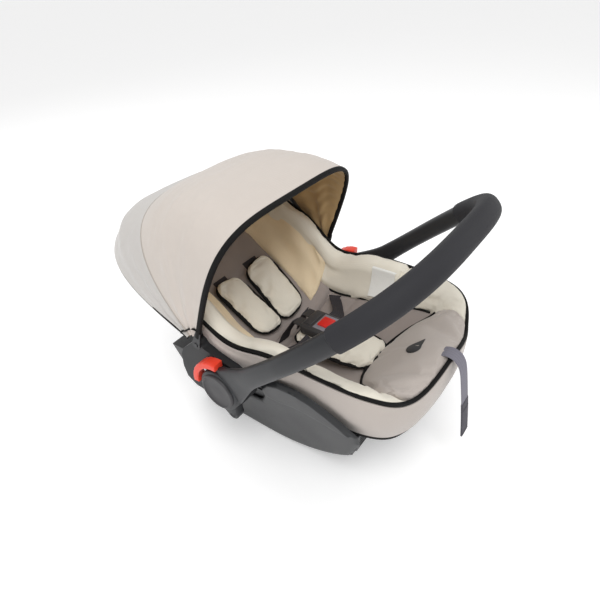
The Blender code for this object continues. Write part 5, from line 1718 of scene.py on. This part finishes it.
@dataclass
class Stage:
    """Floor, light and camera."""

    target: Vector = field(default_factory=lambda: Vector((0.0456, 0.0134, 0.2006)))
    azimuth: float = -50.6
    elevation: float = 36.0
    roll: float = -4.5
    distance: float = 1.009
    lens: float = 30.5

    def camera(self) -> None:
        """Camera at the product's three-quarter view."""
        a, e, r = (radians(x) for x in (self.azimuth, self.elevation, self.roll))
        back = Vector((sin(a) * cos(e), -cos(a) * cos(e), sin(e)))
        look = -back
        right = look.cross(Vector((0, 0, 1))).normalized()
        up = right.cross(look)
        across = right * cos(r) + up * sin(r)
        above = up * cos(r) - right * sin(r)
        data = bpy.data.cameras.new("camera")
        data.lens = self.lens
        data.sensor_width = 36.0
        thing = bpy.data.objects.new("camera", data)
        turn = Matrix((across, above, back)).transposed().to_4x4()
        thing.matrix_world = Matrix.Translation(self.target + back * self.distance) @ turn
        bpy.context.scene.collection.objects.link(thing)
        bpy.context.scene.camera = thing

    def floor(self) -> None:
        """Wide pale floor."""
        shape = Shape()
        shape.patch(lambda u, v: Vector(((u - 0.5) * 80, (v - 0.5) * 80, -0.0004)), 8, 8,
                    (80.0, 80.0))
        mesh = bpy.data.meshes.new("floor")
        shape.bm.to_mesh(mesh)
        shape.bm.free()
        mesh.materials.append(FLOOR.material())
        thing = bpy.data.objects.new("floor", mesh)
        bpy.context.scene.collection.objects.link(thing)

    def light(self, name: str, place: Vector, size: float, power: float) -> None:
        """One soft area light aimed at the seat."""
        data = bpy.data.lights.new(name, "AREA")
        data.shape = "DISK"
        data.size = size
        data.energy = power
        thing = bpy.data.objects.new(name, data)
        thing.location = place
        aim = Vector((0, 0, 0.2)) - place
        thing.rotation_euler = aim.to_track_quat("-Z", "Y").to_euler()
        bpy.context.scene.collection.objects.link(thing)

    def world(self) -> None:
        """Even white surroundings."""
        world = bpy.data.worlds.new("studio")
        world.use_nodes = True
        shader = world.node_tree.nodes["Background"]
        shader.inputs["Color"].default_value = (1.0, 1.0, 1.0, 1.0)
        shader.inputs["Strength"].default_value = 0.66
        bpy.context.scene.world = world

    def build(self) -> None:
        """Set the stage."""
        self.camera()
        self.floor()
        self.light("key", Vector((-1.0, -0.9, 2.3)), 1.3, 27.0)
        self.light("fill", Vector((1.8, -1.2, 1.3)), 1.2, 6.0)
        self.light("rear", Vector((0.4, 1.9, 1.8)), 1.2, 9.0)
        self.world()
        bpy.context.scene.view_settings.view_transform = "Standard"


@dataclass
class Hardware:
    """CAD pieces that are shown as they are, with finished materials."""

    looks: dict[str, Finish] = field(default_factory=lambda: {
        "base": COVER_PLASTIC, "foot_pad": RUBBER, "foam_liner": FOAM,
        "hub_bracket": SHELL_PLASTIC, "pivot_bolt": STEEL, "canopy_pin": MOULDING,
        "lock_gear": MOULDING, "release_spring": STEEL, "canopy_front_bow": MOULDING,
        "canopy_rear_bow": MOULDING, "canopy_blade": MOULDING, "tongue": BUCKLE_PLASTIC,
        "strap_guide": MOULDING,
    })

    def soften(self, node: bpy.types.Object, width: float) -> None:
        """Round the sharp edges of a CAD node."""
        change = node.modifiers.new("edges", "BEVEL")
        change.width = width
        change.segments = 2
        change.limit_method = "ANGLE"
        change.angle_limit = radians(50)
        change.harden_normals = False

    def build(self) -> None:
        """Give every shown CAD node its finish."""
        for name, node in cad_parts.items():
            if node.hide_render:
                continue
            for start, look in self.looks.items():
                if name.startswith(start):
                    node.data.materials.clear()
                    node.data.materials.append(look.material())
                    self.soften(node, 0.0008 if "base" not in name else 0.003)
                    break
            else:
                LOG.info("%s has no finish", name)


def main() -> None:
    """Build the seat."""
    logging.basicConfig(level=logging.INFO, format="%(name)s: %(message)s")
    Stage().build()
    Adjuster().build()
    stuffing = Stuffing()
    Carrier().build()
    SeatCover(stuffing).build()
    Handle().build()
    Canopy().build()
    Harness(stuffing).build()
    stuffing.run()
    Hardware().build()


if __name__ == "__main__":
    main()
